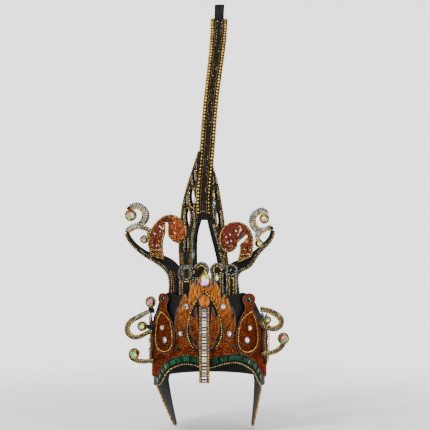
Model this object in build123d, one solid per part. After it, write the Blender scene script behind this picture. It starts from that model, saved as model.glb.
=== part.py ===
from build123d import *

import math
import os
from typing import NamedTuple

# Carnival headdress: a stiffened black cap carries a copper leaf diadem with side lobes, a pair of openwork
# legs that hold a tall swept spire, two arms that end in curls, paisley scrolls, and side scrolls, all
# trimmed with bead strings and cut stones.
#
# Frame: the origin is where the inside top of the cap sits on the crown of the head. +Z is up and the face
# looks along -Y. All lengths are in millimetres. A front outline is drawn in X and Z and seen along +Y.

# Cap: an elliptic wall with a dome and two ear flaps
HEAD_HALF_WIDTH = 85.5
HEAD_HALF_DEPTH = 102.0
CROWN_RISE = 50.0
CAP_WALL = 3.0
RIM_DROP = 96.0
NAPE_DROP = 88.0
FLAP_DROP = 170.0
FLAP_TOP_FRONT = -12.0
FLAP_TOP_BACK = 58.0
FLAP_TIP_Y = 22.0
FLAP_TIP_WIDTH = 17.0
FLAP_TAPER_X = 21.0
FLAP_TAPER_Y = 14.0
FLAP_SHIFT = 6.5

# Clearance between pieces that sit on each other
SEAT_GAP = 0.25

# Brow edge, shared by the cap, the diadem, its stones and its bead string
BROW_INSET = 1.5
BROW_HALF_WIDTH = HEAD_HALF_WIDTH + CAP_WALL - BROW_INSET
BROW_CENTRE_DROP = 61.0
BROW_STEPS = 30

# Walls of the layers that wrap the cap, from the inside out
BACKING_WALL = 3.0
FACE_WALL = 2.5
LEAF_WALL = 2.2
OVERLEAF_WALL = 2.2
MEDALLION_WALL = 2.0
INNER_WALL = 2.4

# Diadem
DIADEM_BACK_Y = 30.0
BACKING_RISE = 60.0
BACKING_SIDE_TOP = 12.0
FACE_RISE = 50.0
FACE_SIDE_TOP = 6.0
DIADEM_HALF_WIDTH = HEAD_HALF_WIDTH + CAP_WALL + BACKING_WALL + 2 * SEAT_GAP
STONE_BAND = 15.4

# Medallion, strip and the leaves around them
MEDALLION_HALF_WIDTH = 28.5
MEDALLION_HEIGHT = 100.0
MEDALLION_FOOT = -36.0
STRIP_WIDTH = 16.5
STRIP_TOP = 37.0
STRIP_FOOT = -82.0
BUD_WIDTH = 17.6
BUD_HEIGHT = 20.0
FAN_HALF_WIDTH = 44.0
FAN_HEIGHT = 95.0

# Side lobes
LOBE_CENTRE_X = 67.2
LOBE_WIDTH = 36.0
LOBE_FOOT = -40.0
LOBE_HEIGHT = 78.0
LOBE_RING_RADIUS = 9.3
LOBE_HOLE_RADIUS = 4.2
LOBE_MARGIN = 3.4

# Side leaves, drawn in Y and Z
SIDE_LEAF_Y = -18.5
SIDE_LEAF_WIDTH = 46.0
SIDE_LEAF_TOP = 20.0
SIDE_LEAF_FOOT = -62.0

# Stones
STONE_TABLE_SHARE = 0.52
EMERALD_WIDTH = 11.8
EMERALD_HEIGHT = 10.6
EMERALD_DEPTH = 3.0
EMERALD_PITCH = 13.4
EMERALD_START = 16.5
EMERALD_END = 9.0
BAGUETTE_WIDTH = 8.0
BAGUETTE_PITCH = 5.1
BAGUETTE_GAP = 0.35
BAGUETTE_DEPTH = 2.6
CRYSTAL_WIDTH = 16.5
CRYSTAL_HEIGHT = 30.0
CRYSTAL_DEPTH = 6.5
CRYSTAL_Z = 67.5
ROUND_STONE_DEPTH = 3.2
SIDE_STONE_WIDTH = 6.0
SIDE_STONE_HEIGHT = 9.5
SIDE_STONE_PITCH = 16.0

# Bead strings
STRING_RADIUS = 1.6
SPIRE_STRING_RADIUS = 2.3
STRING_SLACK = 0.15
STRING_STEPS = 33

# Spire and its legs
SPIRE_FOOT_X = -4.8
SPIRE_FOOT_Z = 173.0
SPIRE_HEIGHT = 367.0
SPIRE_FRONT_Y = -38.0
SPIRE_SWEEP = 115.0
SPIRE_DRIFT = 17.8
SPIRE_DEPTH = 58.0
SPIRE_YAW = 5.0
CORE_WIDTH = 12.0
BLADE_WALL = 5.0
BLADE_SHARE = 0.93
LEG_WALL = 4.5
LEG_HEIGHT = 285.0
LEG_WIDTH = 50.0
LEG_YAW_LEFT = 50.0
LEG_YAW_RIGHT = 55.0

# Plates that stand behind the diadem
LOOP_PLATE_Y = -79.5
LOOP_PLATE_WALL = 5.0
LOOP_PLATE_FOOT = -30.0
ARM_Y = -58.0
ARM_WALL = 8.0
ARM_FOOT = -25.0

# Arms, curls and paisleys, each with its own reach on each side
ARM_REACH_LEFT = 129.8
ARM_RISE_LEFT = 152.5
ARM_REACH_RIGHT = 105.8
ARM_RISE_RIGHT = 157.0
ARM_BAND = 24.0
CURL_WIDTH_LEFT = 36.0
CURL_HEIGHT_LEFT = 46.0
CURL_WIDTH_RIGHT = 33.0
CURL_HEIGHT_RIGHT = 33.0
CURL_BAND = 12.0
PAISLEY_WIDTH_LEFT = 62.0
PAISLEY_HEIGHT_LEFT = 64.0
PAISLEY_WIDTH_RIGHT = 54.0
PAISLEY_HEIGHT_RIGHT = 54.0
PAISLEY_WALL = 9.0
PAISLEY_X_LEFT = 94.2
PAISLEY_Z_LEFT = 118.5
PAISLEY_X_RIGHT = 74.4
PAISLEY_Z_RIGHT = 117.0

# Side scrolls
SCROLL_Y = -45.4
SCROLL_WALL = 6.0
SCROLL_BAND = 8.4
LOOP_REACH_LEFT = 44.5
LOOP_HEIGHT_LEFT = 42.0
LOOP_TOP_LEFT = 25.0
LOOP_REACH_RIGHT = 33.0
LOOP_HEIGHT_RIGHT = 31.0
LOOP_TOP_RIGHT = 28.8
HOOK_REACH_LEFT = 38.0
HOOK_RISE_LEFT = 11.6
HOOK_Z_LEFT = -52.7
HOOK_REACH_RIGHT = 38.0
HOOK_RISE_RIGHT = 19.3
HOOK_Z_RIGHT = -41.0
POST_REACH = 5.5
POST_RISE = 15.7


class Row(NamedTuple):
    """A station of a ribbon or an edge, as shares of the piece's width, height and band."""

    across: float
    up: float
    band: float = 1.0


class Station(NamedTuple):
    """A section of the spire as shares: height, sideways drift, backward sweep, depth and core width."""

    up: float
    drift: float
    sweep: float
    depth: float
    width: float


class Leg(NamedTuple):
    """A section of a leg: height above the dome, inner and outer edge, as shares of the leg's width."""

    up: float
    inner: float
    outer: float


class Window(NamedTuple):
    """An opening in a plate: place, length, width and slant in degrees, as shares where a share fits."""

    across: float
    up: float
    length: float
    width: float
    slant: float


BROW_LEFT = [
    Row(0.225, -0.14),
    Row(0.40, -0.14),
    Row(0.53, -0.03),
    Row(0.62, 0.095),
    Row(0.735, 0.38),
    Row(0.80, 0.67),
    Row(0.87, 0.925),
    Row(0.95, 1.0),
]
BROW_RIGHT = [
    Row(0.0, 0.0),
    Row(0.25, -0.11),
    Row(0.43, -0.21),
    Row(0.63, -0.16),
    Row(0.75, 0.02),
    Row(0.84, 0.21),
    Row(0.905, 0.525),
    Row(0.95, 0.82),
    Row(1.0, 1.0),
]

BACKING_TOP = [
    Row(0.0, 1.0),
    Row(0.24, 1.0),
    Row(0.46, 0.90),
    Row(0.62, 0.965),
    Row(0.74, 0.90),
    Row(0.85, 0.66),
    Row(0.93, 0.36),
]
FACE_TOP = [
    Row(0.0, 1.0),
    Row(0.22, 0.94),
    Row(0.41, 0.60),
    Row(0.48, 0.16),
    Row(0.515, -0.10),
    Row(0.56, 0.16),
    Row(0.66, 0.36),
    Row(0.80, 0.36),
    Row(0.93, 0.14),
]
MEDALLION = [
    Row(0.0, 1.0),
    Row(0.22, 0.94),
    Row(0.45, 0.85),
    Row(0.72, 0.71),
    Row(0.93, 0.53),
    Row(1.0, 0.37),
    Row(0.97, 0.26),
    Row(0.86, 0.165),
    Row(0.66, 0.08),
    Row(0.32, 0.0),
]
LOBE = [
    Row(0.16, 0.90),
    Row(-0.30, 0.74),
    Row(-0.47, 0.50),
    Row(-0.50, 0.26),
    Row(-0.36, 0.07),
    Row(0.0, 0.0),
    Row(0.36, 0.07),
    Row(0.50, 0.26),
    Row(0.47, 0.50),
    Row(0.36, 0.74),
]
SPIRE = [
    Station(0.0, 0.0, 0.0, 1.0, 1.0),
    Station(0.21, 0.05, 0.0, 0.97, 0.96),
    Station(0.40, 0.32, 0.085, 0.85, 0.94),
    Station(0.58, 0.57, 0.27, 0.72, 0.96),
    Station(0.75, 0.89, 0.52, 0.58, 1.08),
    Station(0.93, 1.0, 0.86, 0.40, 1.28),
    Station(1.0, 0.99, 1.0, 0.32, 1.35),
]
LEG_LEFT = [
    Leg(-0.06, 0.12, 0.92),
    Leg(0.21, 0.12, 0.94),
    Leg(0.38, 0.09, 1.0),
    Leg(0.494, 0.08, 1.03),
    Leg(0.56, -0.02, 0.98),
    Leg(0.614, -0.16, 0.93),
    Leg(0.70, -0.22, 0.83),
    Leg(0.746, -0.22, 0.72),
    Leg(0.837, -0.22, 0.465),
    Leg(0.928, -0.22, 0.16),
    Leg(1.0, -0.22, -0.06),
]
LEG_RIGHT = [
    Leg(-0.06, 0.55, 1.06),
    Leg(0.21, 0.47, 0.98),
    Leg(0.38, 0.30, 0.80),
    Leg(0.494, 0.05, 0.68),
    Leg(0.56, -0.10, 0.63),
    Leg(0.614, -0.20, 0.59),
    Leg(0.70, -0.22, 0.46),
    Leg(0.79, -0.22, 0.33),
    Leg(0.883, -0.22, 0.11),
    Leg(0.96, -0.22, -0.12),
]
LEG_WINDOWS_LEFT = [
    Window(0.16, 0.852, 0.070, 0.13, -12.0),
    Window(0.25, 0.737, 0.095, 0.26, -8.0),
    Window(0.62, 0.722, 0.060, 0.09, -10.0),
    Window(0.50, 0.622, 0.095, 0.24, -6.0),
    Window(0.82, 0.560, 0.080, 0.10, 0.0),
    Window(0.56, 0.470, 0.075, 0.14, 0.0),
]
LEG_WINDOWS_RIGHT = [
    Window(0.08, 0.838, 0.060, 0.08, 8.0),
    Window(0.13, 0.750, 0.055, 0.14, 6.0),
    Window(0.29, 0.615, 0.095, 0.17, 8.0),
    Window(0.42, 0.480, 0.070, 0.14, 12.0),
]
SPIRE_WINDOWS = [
    Window(0.50, 0.08, 40.0, 17.0, 4.0),
    Window(0.48, 0.22, 44.0, 16.0, 2.0),
    Window(0.50, 0.37, 42.0, 14.0, -8.0),
    Window(0.52, 0.52, 36.0, 11.0, -18.0),
    Window(0.54, 0.66, 30.0, 9.0, -26.0),
]
ARM_LEFT = [
    Row(0.385, 0.13, 1.0),
    Row(0.385, 0.39, 1.0),
    Row(0.412, 0.59, 1.0),
    Row(0.549, 0.70, 0.80),
    Row(0.712, 0.757, 0.48),
    Row(0.852, 0.833, 0.38),
    Row(0.946, 0.915, 0.34),
    Row(1.0, 1.0, 0.30),
]
ARM_RIGHT = [
    Row(0.38, 0.13, 1.0),
    Row(0.38, 0.41, 1.0),
    Row(0.408, 0.592, 1.0),
    Row(0.59, 0.662, 0.85),
    Row(0.742, 0.756, 0.50),
    Row(0.864, 0.838, 0.40),
    Row(0.969, 0.92, 0.36),
    Row(1.0, 1.0, 0.32),
]
CURL_LEFT = [
    Row(0.0, 0.0, 0.66),
    Row(0.317, 0.20, 0.68),
    Row(0.63, 0.315, 0.80),
    Row(0.817, 0.487, 0.96),
    Row(0.85, 0.68, 0.98),
    Row(0.725, 0.855, 0.90),
    Row(0.506, 0.953, 0.80),
    Row(0.253, 0.916, 0.70),
    Row(0.06, 0.80, 0.60),
]
CURL_RIGHT = [
    Row(0.0, 0.0, 0.66),
    Row(0.22, 0.10, 0.68),
    Row(0.51, -0.03, 0.76),
    Row(0.78, 0.05, 0.86),
    Row(0.95, 0.29, 0.94),
    Row(0.973, 0.585, 0.90),
    Row(0.803, 0.827, 0.84),
    Row(0.51, 0.948, 0.76),
    Row(0.267, 0.827, 0.66),
]
FORK_LEFT = [
    Row(0.55, 0.28, 0.60),
    Row(0.755, 0.19, 0.64),
    Row(0.985, 0.10, 0.60),
    Row(1.07, -0.10, 0.56),
    Row(0.98, -0.24, 0.50),
]
FORK_RIGHT = [
    Row(0.51, -0.02, 0.60),
    Row(0.667, -0.08, 0.62),
    Row(0.735, -0.26, 0.58),
    Row(0.70, -0.46, 0.50),
]
CURL_STONE_LEFT = Row(0.19, 0.62)
CURL_STONE_RIGHT = Row(0.403, 0.56)
FORK_STONE_LEFT = Row(0.80, -0.22)
FORK_STONE_RIGHT = Row(0.657, -0.636)
PAISLEY_LEFT = [
    Row(0.055, 0.03),
    Row(0.0, 0.30),
    Row(0.07, 0.60),
    Row(0.25, 0.85),
    Row(0.56, 1.0),
    Row(0.82, 0.91),
    Row(1.0, 0.64),
    Row(0.97, 0.40),
    Row(0.80, 0.28),
    Row(0.60, 0.37),
    Row(0.515, 0.53),
]
PAISLEY_SLIT_LEFT = [
    Row(0.515, 0.53),
    Row(0.515, 0.80),
    Row(0.45, 0.80),
    Row(0.45, 0.53),
]
PAISLEY_STEM_LEFT = [
    Row(0.45, 0.53),
    Row(0.40, 0.38),
    Row(0.38, 0.20),
    Row(0.45, -0.15),
]
PAISLEY_RIGHT = [
    Row(0.02, 0.04),
    Row(-0.02, 0.40),
    Row(0.03, 0.66),
    Row(0.20, 0.90),
    Row(0.47, 1.0),
    Row(0.76, 0.93),
    Row(0.95, 0.72),
    Row(1.0, 0.46),
    Row(0.93, 0.20),
    Row(0.74, 0.08),
    Row(0.54, 0.16),
    Row(0.46, 0.36),
]
PAISLEY_SLIT_RIGHT = [
    Row(0.46, 0.36),
    Row(0.20, 0.60),
    Row(0.16, 0.55),
    Row(0.40, 0.31),
]
PAISLEY_STEM_RIGHT = [
    Row(0.40, 0.31),
    Row(0.385, 0.22),
    Row(0.40, 0.08),
    Row(0.46, -0.24),
]
LOOP_LEFT = [
    Row(-0.10, 0.02, 0.86),
    Row(0.36, -0.08, 0.90),
    Row(0.56, -0.20, 0.98),
    Row(0.82, -0.35, 1.0),
    Row(1.0, -0.68, 1.0),
    Row(0.91, -0.91, 0.96),
    Row(0.71, -1.0, 0.92),
    Row(0.49, -0.95, 0.86),
    Row(0.23, -0.81, 0.80),
    Row(-0.10, -0.68, 0.76),
]
LOOP_RIGHT = [
    Row(-0.15, 0.02, 0.98),
    Row(0.38, -0.06, 1.0),
    Row(0.71, -0.22, 1.08),
    Row(1.0, -0.56, 1.08),
    Row(0.92, -0.87, 1.04),
    Row(0.63, -1.0, 1.0),
    Row(0.34, -0.93, 0.94),
    Row(-0.15, -0.76, 0.86),
]
LOOP_STONE_LEFT = Row(0.44, -0.57)
LOOP_STONE_RIGHT = Row(0.33, -0.54)
HOOK_LEFT = [
    Row(-0.12, 0.05, 0.66),
    Row(0.36, -0.25, 0.74),
    Row(0.66, -0.22, 0.84),
    Row(0.92, 0.12, 0.88),
    Row(1.03, 0.70, 0.84),
]
HOOK_RIGHT = [
    Row(-0.12, 0.0, 0.62),
    Row(0.32, -0.02, 0.74),
    Row(0.64, 0.15, 0.86),
    Row(0.89, 0.54, 0.90),
    Row(0.99, 0.92, 0.86),
]
HOOK_STONE_LEFT = Row(0.86, 0.81)
HOOK_STONE_RIGHT = Row(0.966, 1.22)

LOOP_STONE_RADIUS_LEFT = 6.8
LOOP_STONE_RADIUS_RIGHT = 5.0
HOOK_STONE_RADIUS_LEFT = 7.6
HOOK_STONE_RADIUS_RIGHT = 8.3
POST_STONE_RADIUS = 7.8
CURL_STONE_RADIUS_LEFT = 8.2
CURL_STONE_RADIUS_RIGHT = 6.8
FORK_STONE_RADIUS = 5.6
CUP_MARGIN = 1.1
BALL_DEPTH_SHARE = 0.62

RAY = 220.0


# Elliptic layers around the cap


def layer_offsets():
    """Inner and outer offset of each wrapped layer from the outside of the cap."""
    walls = {
        "backing": BACKING_WALL,
        "face": FACE_WALL,
        "leaf": LEAF_WALL,
        "overleaf": OVERLEAF_WALL,
        "medallion": MEDALLION_WALL,
        "inner": INNER_WALL,
    }
    spans, reached = {}, 0.0
    for name, wall in walls.items():
        spans[name] = (reached + SEAT_GAP, reached + SEAT_GAP + wall)
        reached = spans[name][1]
    return spans


LAYERS = layer_offsets()


def wall_axes(offset):
    """Half width and half depth of the ellipse at an offset from the outside of the cap."""
    return HEAD_HALF_WIDTH + CAP_WALL + offset, HEAD_HALF_DEPTH + CAP_WALL + offset


def wall_point(x, z, offset):
    """The point of the front half of the ellipse at a front-view place."""
    half_width, half_depth = wall_axes(offset)
    share = min(abs(x) / half_width, 1.0)
    return Vector(x, -half_depth * math.sqrt(1 - share * share), z)


def wall_normal(point, offset):
    """Outward normal of the ellipse through a point."""
    half_width, half_depth = wall_axes(offset)
    return Vector(point.X / half_width**2, point.Y / half_depth**2, 0).normalized()


def ring(layer):
    """The whole elliptic tube of a layer."""
    inner, outer = LAYERS[layer]
    tube = Ellipse(*wall_axes(outer)) - Ellipse(*wall_axes(inner))
    return Pos(0, 0, -RAY) * extrude(tube, 2 * RAY)


# Outlines


def curve(points):
    """A straight edge through two points, or a smooth one through more."""
    return Line(*points) if len(points) == 2 else Spline(*points)


def outline(*runs):
    """A face bounded by runs of points, each joined to the next."""
    return make_face(Curve() + [curve(run) for run in runs])


def mirrored(points):
    """The same places on the other side of the middle, in the opposite order."""
    return [(-x, z) for x, z in reversed(points)]


def scaled(rows, width, height, x=0.0, z=0.0, side=1):
    """Places in millimetres of rows that are shares of a width and a height."""
    return [(side * (x + row.across * width), z + row.up * height) for row in rows]


def leaf(base, tip, width, sway=0.0):
    """A pointed leaf from base to tip, whose middle line sways to one side by a share of its width."""
    base, tip = Vector(*base), Vector(*tip)
    axis = tip - base
    side = Vector(-axis.Y, axis.X).normalized()

    def place(along, across):
        drift = 4 * sway * along * (1 - along)
        spot = base + axis * along + side * ((across + drift) * width)
        return (spot.X, spot.Y)

    profile = [(0.0, 0.30), (0.32, 0.50), (0.68, 0.36), (1.0, 0.0)]
    left = [place(along, across) for along, across in profile]
    right = [place(along, -across) for along, across in reversed(profile)]
    return outline(left, right, [right[-1], left[0]])


def ribbon(points, bands):
    """A band of changing width along a smooth middle line, with square ends."""
    left, right = [], []
    for i, ((x, z), band) in enumerate(zip(points, bands)):
        before, after = points[max(i - 1, 0)], points[min(i + 1, len(points) - 1)]
        run = math.hypot(after[0] - before[0], after[1] - before[1])
        nx, nz = -(after[1] - before[1]) / run, (after[0] - before[0]) / run
        left.append((x + nx * band / 2, z + nz * band / 2))
        right.append((x - nx * band / 2, z - nz * band / 2))
    right.reverse()
    return outline(left, [left[-1], right[0]], right, [right[-1], left[0]])


def wrapped(face, layer):
    """A front outline wrapped onto the front half of a layer."""
    return ring(layer) & extrude(Plane.XZ * face, RAY)


def upright(face, y, wall):
    """A flat plate with a front outline, centred on y."""
    plane = Plane(origin=(0, y, 0), x_dir=(1, 0, 0), z_dir=(0, -1, 0))
    return extrude(plane * face, wall / 2, both=True)


def other_side(shape):
    """The mirror image across the middle."""
    return mirror(shape, about=Plane.YZ)


# Cap


def cap_body(offset):
    """The cap as one solid block at an offset from its inside: dome, wall and the taper of the flaps."""
    half_width, half_depth = HEAD_HALF_WIDTH + offset, HEAD_HALF_DEPTH + offset
    wall = extrude(Pos(0, 0, -RIM_DROP) * Ellipse(half_width, half_depth), RIM_DROP - CROWN_RISE)
    half_ball = Sphere(1, arc_size1=0, align=(Align.CENTER, Align.CENTER, Align.MIN))
    dome = Pos(0, 0, -CROWN_RISE) * scale(half_ball, by=(half_width, half_depth, CROWN_RISE + offset))
    taper = loft(
        [
            Pos(0, 0, -RIM_DROP) * Ellipse(half_width, half_depth),
            Pos(FLAP_SHIFT, 0, -FLAP_DROP) * Ellipse(half_width - FLAP_TAPER_X, half_depth - FLAP_TAPER_Y),
        ],
        ruled=True,
    )
    return wall + dome + taper


def dome_block(offset):
    """The top of the cap as a solid block, used to trim what stands on it."""
    half_width, half_depth, rise = wall_axes(offset) + (CROWN_RISE + CAP_WALL + offset,)
    return Pos(0, 0, -CROWN_RISE) * scale(Sphere(1), by=(half_width, half_depth, rise))


def brow_edge(lift=0.0, layer="backing"):
    """The brow line from left to right in the front view of a layer, moved up the wall by a lift."""
    fall = BROW_CENTRE_DROP - RIM_DROP
    left = scaled(BROW_LEFT, BROW_HALF_WIDTH, fall, z=-BROW_CENTRE_DROP)
    right = scaled(BROW_RIGHT, BROW_HALF_WIDTH, fall, z=-BROW_CENTRE_DROP)
    line = evenly(mirrored(left) + right, BROW_STEPS)
    half_width, half_depth = wall_axes(LAYERS["backing"][1])
    turns = [math.asin(x / half_width) for x, _ in line]
    moved = []
    for i, (turn, (_, z)) in enumerate(zip(turns, line)):
        before, after = max(i - 1, 0), min(i + 1, BROW_STEPS)
        pace = math.hypot(half_width * math.cos(turn), half_depth * math.sin(turn))
        run, rise = (turns[after] - turns[before]) * pace, line[after][1] - line[before][1]
        length = math.hypot(run, rise)
        reach = wall_axes(LAYERS[layer][1])[0]
        moved.append((reach * math.sin(turn - lift * rise / length / pace), z + lift * run / length))
    return moved


def below_brow(lift=0.0):
    """The region below the brow line in the front view."""
    edge = brow_edge(lift)
    (left, left_z), (right, right_z) = edge[0], edge[-1]
    return outline(
        edge,
        [edge[-1], (right + RAY, right_z)],
        [(right + RAY, right_z), (right + RAY, -RAY)],
        [(right + RAY, -RAY), (left - RAY, -RAY)],
        [(left - RAY, -RAY), (left - RAY, left_z)],
        [(left - RAY, left_z), edge[0]],
    )


def side_rim():
    """The region below the cap's edge in the side view, outside the flaps."""
    tip_front, tip_back = FLAP_TIP_Y - FLAP_TIP_WIDTH / 2, FLAP_TIP_Y + FLAP_TIP_WIDTH / 2
    tip_z = -FLAP_DROP + FLAP_TIP_WIDTH / 3
    front_edge = [
        (FLAP_TOP_FRONT, -RIM_DROP),
        ((FLAP_TOP_FRONT * 2 + tip_front) / 3 + 1.5, -RIM_DROP * 0.62 - FLAP_DROP * 0.38),
        (tip_front, tip_z),
    ]
    back_edge = [
        (tip_back, tip_z),
        ((FLAP_TOP_BACK + tip_back) / 2 - 3.0, -NAPE_DROP * 0.45 - FLAP_DROP * 0.55),
        (FLAP_TOP_BACK, -NAPE_DROP),
    ]
    tip = [(tip_front, tip_z), (FLAP_TIP_Y, -FLAP_DROP + 1.0), (tip_back, tip_z)]
    return outline(
        [(-RAY, -RIM_DROP), (FLAP_TOP_FRONT, -RIM_DROP)],
        front_edge,
        tip,
        back_edge,
        [(FLAP_TOP_BACK, -NAPE_DROP), (RAY, -NAPE_DROP)],
        [(RAY, -NAPE_DROP), (RAY, -RAY)],
        [(RAY, -RAY), (-RAY, -RAY)],
        [(-RAY, -RAY), (-RAY, -RIM_DROP)],
    )


def skull_cap():
    """The hollow cap with its brow cut-out and ear flaps."""
    shell = cap_body(CAP_WALL) - cap_body(0.0)
    shell -= extrude(Plane.YZ * side_rim(), RAY, both=True)
    return shell - Pos(0, FLAP_TOP_FRONT - CAP_WALL, 0) * extrude(Plane.XZ * below_brow(), RAY)


# Diadem


def diadem_band(top_rows, rise, lift, side_top, layer):
    """A front outline between the brow line and a top edge, both raised or scaled from the named sizes."""
    top = scaled(top_rows, DIADEM_HALF_WIDTH, rise)
    ends = [(DIADEM_HALF_WIDTH, side_top), (DIADEM_HALF_WIDTH + RAY / 4, side_top)]
    upper = mirrored(top)[:-1] + top
    lower = brow_edge(lift, layer)
    reach = ends[1][0]
    return outline(
        lower,
        [lower[-1], (reach, lower[-1][1])],
        [(reach, lower[-1][1]), ends[1]],
        [ends[1], ends[0]],
        [ends[0], upper[-1]],
        list(reversed(upper)),
        [upper[0], (-ends[0][0], side_top)],
        [(-ends[0][0], side_top), (-reach, side_top)],
        [(-reach, side_top), (-reach, lower[0][1])],
        [(-reach, lower[0][1]), lower[0]],
    )


def diadem_layer(face, layer):
    """A diadem outline wrapped on a layer, round the front and on past the ears."""
    block = Pos(0, DIADEM_BACK_Y, 0) * extrude(Plane.XZ * face, RAY)
    return ring(layer) & block


SLOTS = [
    Window(0.455, 0.23, 8.0, 2.6, -35.0),
    Window(0.50, 0.065, 15.0, 3.2, 8.0),
    Window(0.70, 0.10, 12.0, 3.4, 18.0),
]


def slots():
    """Cut-outs of the copper face, three on each side, in the front view."""
    cuts = Sketch()
    for slot in SLOTS:
        x, z = slot.across * DIADEM_HALF_WIDTH, LOBE_FOOT + slot.up * MEDALLION_HEIGHT + 7.0
        cut = Pos(x, z) * Rot(0, 0, slot.slant) * Ellipse(slot.length / 2, slot.width / 2)
        cuts += cut
        cuts += mirror(cut, about=Plane.YZ)
    return cuts


def medallion_edge(inset=0.0):
    """The right half of the medallion's outline, from its point to its foot."""
    points = scaled(MEDALLION, MEDALLION_HALF_WIDTH, MEDALLION_HEIGHT, z=MEDALLION_FOOT)
    middle_z = MEDALLION_FOOT + MEDALLION_HEIGHT * 0.4
    moved = []
    for x, z in points:
        reach = math.hypot(x, z - middle_z)
        keep = (reach - inset) / reach
        moved.append((x * keep, middle_z + (z - middle_z) * keep))
    return moved


def medallion():
    """The black pointed plate behind the inner leaves."""
    right = medallion_edge()
    left = mirrored(right)
    return wrapped(outline(right, [right[-1], left[0]], left), "medallion")


def fan_leaves():
    """Leaves that fan out behind the medallion: name, layer and right-hand outline."""
    w, h = FAN_HALF_WIDTH, FAN_HEIGHT
    top = leaf((0, 0.45 * h), (0, h), 0.66 * w)
    flame = leaf((0.24 * w, 0.30 * h), (0.40 * w, 0.81 * h), 0.46 * w, -0.10)
    flame += leaf((0.20 * w, 0.30 * h), (0.235 * w, 0.80 * h), 0.26 * w, -0.05)
    gem = leaf((0.60 * w, 0.06 * h), (0.705 * w, 0.61 * h), 0.48 * w, -0.12)
    gem -= leaf((0.24 * w, 0.28 * h), (0.40 * w, 0.83 * h), 0.46 * w + 4 * SEAT_GAP, -0.10)
    low = leaf((0.76 * w, -0.16 * h), (0.965 * w, 0.385 * h), 0.38 * w, -0.14)
    return top, flame, gem, low


def inner_leaves():
    """Right-hand copper leaves inside the medallion, as one plate beside the strip."""
    edge = STRIP_WIDTH / 2 + SEAT_GAP * 2
    w, h = MEDALLION_HALF_WIDTH, MEDALLION_HEIGHT
    shape = leaf((edge + 1.5, 0.10 * h), (0.44 * w, 0.74 * h), 0.34 * w, -0.30)
    shape += leaf((edge + 3.0, 0.22 * h), (0.72 * w, 0.60 * h), 0.40 * w, -0.22)
    shape += leaf((edge - 1.0, 0.08 * h), (0.70 * w, 0.20 * h), 0.20 * w, 0.10)
    return Pos(0, MEDALLION_FOOT) * (shape - Rectangle(2 * edge, 4 * h))


def strip():
    """The dark bar that carries the baguettes and hangs past the brow."""
    bar = Pos(0, (STRIP_TOP + STRIP_FOOT) / 2) * Rectangle(STRIP_WIDTH, STRIP_TOP - STRIP_FOOT)
    return wrapped(bar, "inner")


def bud():
    """The egg-shaped bud above the strip."""
    half, foot = BUD_WIDTH / 2, STRIP_TOP + SEAT_GAP * 2
    right = [(half * 0.45, foot), (half, foot + BUD_HEIGHT * 0.38), (0, foot + BUD_HEIGHT)]
    left = mirrored(right)
    return wrapped(outline(right, left, [left[-1], right[0]]), "inner")


# Lobes and side leaves


def lobe_body(inset=0.0):
    """Places round a side lobe on the right, drawn in by an inset."""
    points = scaled(LOBE, LOBE_WIDTH, LOBE_HEIGHT, x=LOBE_CENTRE_X, z=LOBE_FOOT)
    middle_z = LOBE_FOOT + LOBE_HEIGHT * 0.35
    moved = []
    for x, z in points:
        reach = math.hypot(x - LOBE_CENTRE_X, z - middle_z)
        keep = (reach - inset) / reach
        moved.append((LOBE_CENTRE_X + (x - LOBE_CENTRE_X) * keep, middle_z + (z - middle_z) * keep))
    return moved


def lobe_ring_centre():
    """Where the ring on top of the right lobe has its middle."""
    return LOBE_CENTRE_X + 1.5, LOBE_FOOT + LOBE_HEIGHT + LOBE_RING_RADIUS * 0.98


def lobe():
    """The right lobe: a drop-shaped plate with a ring on top."""
    body = lobe_body()
    x, z = lobe_ring_centre()
    neck, shoulder = LOBE_RING_RADIUS * 0.62, body[0][1]
    left, right = (x - neck, shoulder), (x + neck, shoulder)
    shape = outline([left] + body[1:] + [right], [right, left])
    shape += Pos(x, z) * Circle(LOBE_RING_RADIUS)
    neck_height = z - LOBE_RING_RADIUS * 0.5 - shoulder
    shape += Pos(x, shoulder + neck_height / 2 - 1) * Rectangle(2 * neck, neck_height + 2)
    shape -= Pos(x, z) * Ellipse(LOBE_HOLE_RADIUS, LOBE_HOLE_RADIUS * 1.25)
    return wrapped(shape - slots(), "leaf")


def side_leaf_outline(inset=0.0):
    """A long pointed leaf in Y and Z, as its two smooth sides from top to foot."""
    top, foot = SIDE_LEAF_TOP - 2 * inset, SIDE_LEAF_FOOT + 2 * inset
    half, height = SIDE_LEAF_WIDTH / 2 - inset, SIDE_LEAF_TOP - SIDE_LEAF_FOOT - 4 * inset
    shares = [(0.0, 1.0), (0.62, 0.86), (1.0, 0.62), (1.0, 0.34), (0.56, 0.12), (0.0, 0.0)]
    sides = []
    for side in (-1, 1):
        sides.append([(SIDE_LEAF_Y + side * half * across, foot + height * up) for across, up in shares])
    return top, sides


def side_leaf():
    """The right side leaf, wrapped on the leaf layer beside the ear."""
    _, (front, back) = side_leaf_outline()
    face = outline(front, list(reversed(back)))
    return ring("leaf") & extrude(Plane.YZ * face, RAY)


# Stones


def faceted(sections):
    """A closed solid through parallel polygons with the same number of corners."""
    faces = [Face(Wire.make_polygon(section, close=True)) for section in (sections[0], sections[-1])]
    for low, high in zip(sections, sections[1:]):
        count = len(low)
        for i in range(count):
            j = (i + 1) % count
            faces.append(Face(Wire.make_polygon([low[i], low[j], high[j], high[i]], close=True)))
    return Solid(Shell(faces))


def cut_stone(corners, depth):
    """A flat-backed stone with a girdle, two rows of facets and a table, on the XY plane."""
    middle_x = sum(x for x, _ in corners) / len(corners)
    middle_y = sum(y for _, y in corners) / len(corners)
    levels = [(0.0, 1.0), (0.22, 1.0), (0.66, 0.82), (1.0, STONE_TABLE_SHARE)]
    sections = []
    for up, share in levels:
        sections.append(
            [
                Vector(middle_x + (x - middle_x) * share, middle_y + (y - middle_y) * share, up * depth)
                for x, y in corners
            ]
        )
    return faceted(sections)


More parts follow.
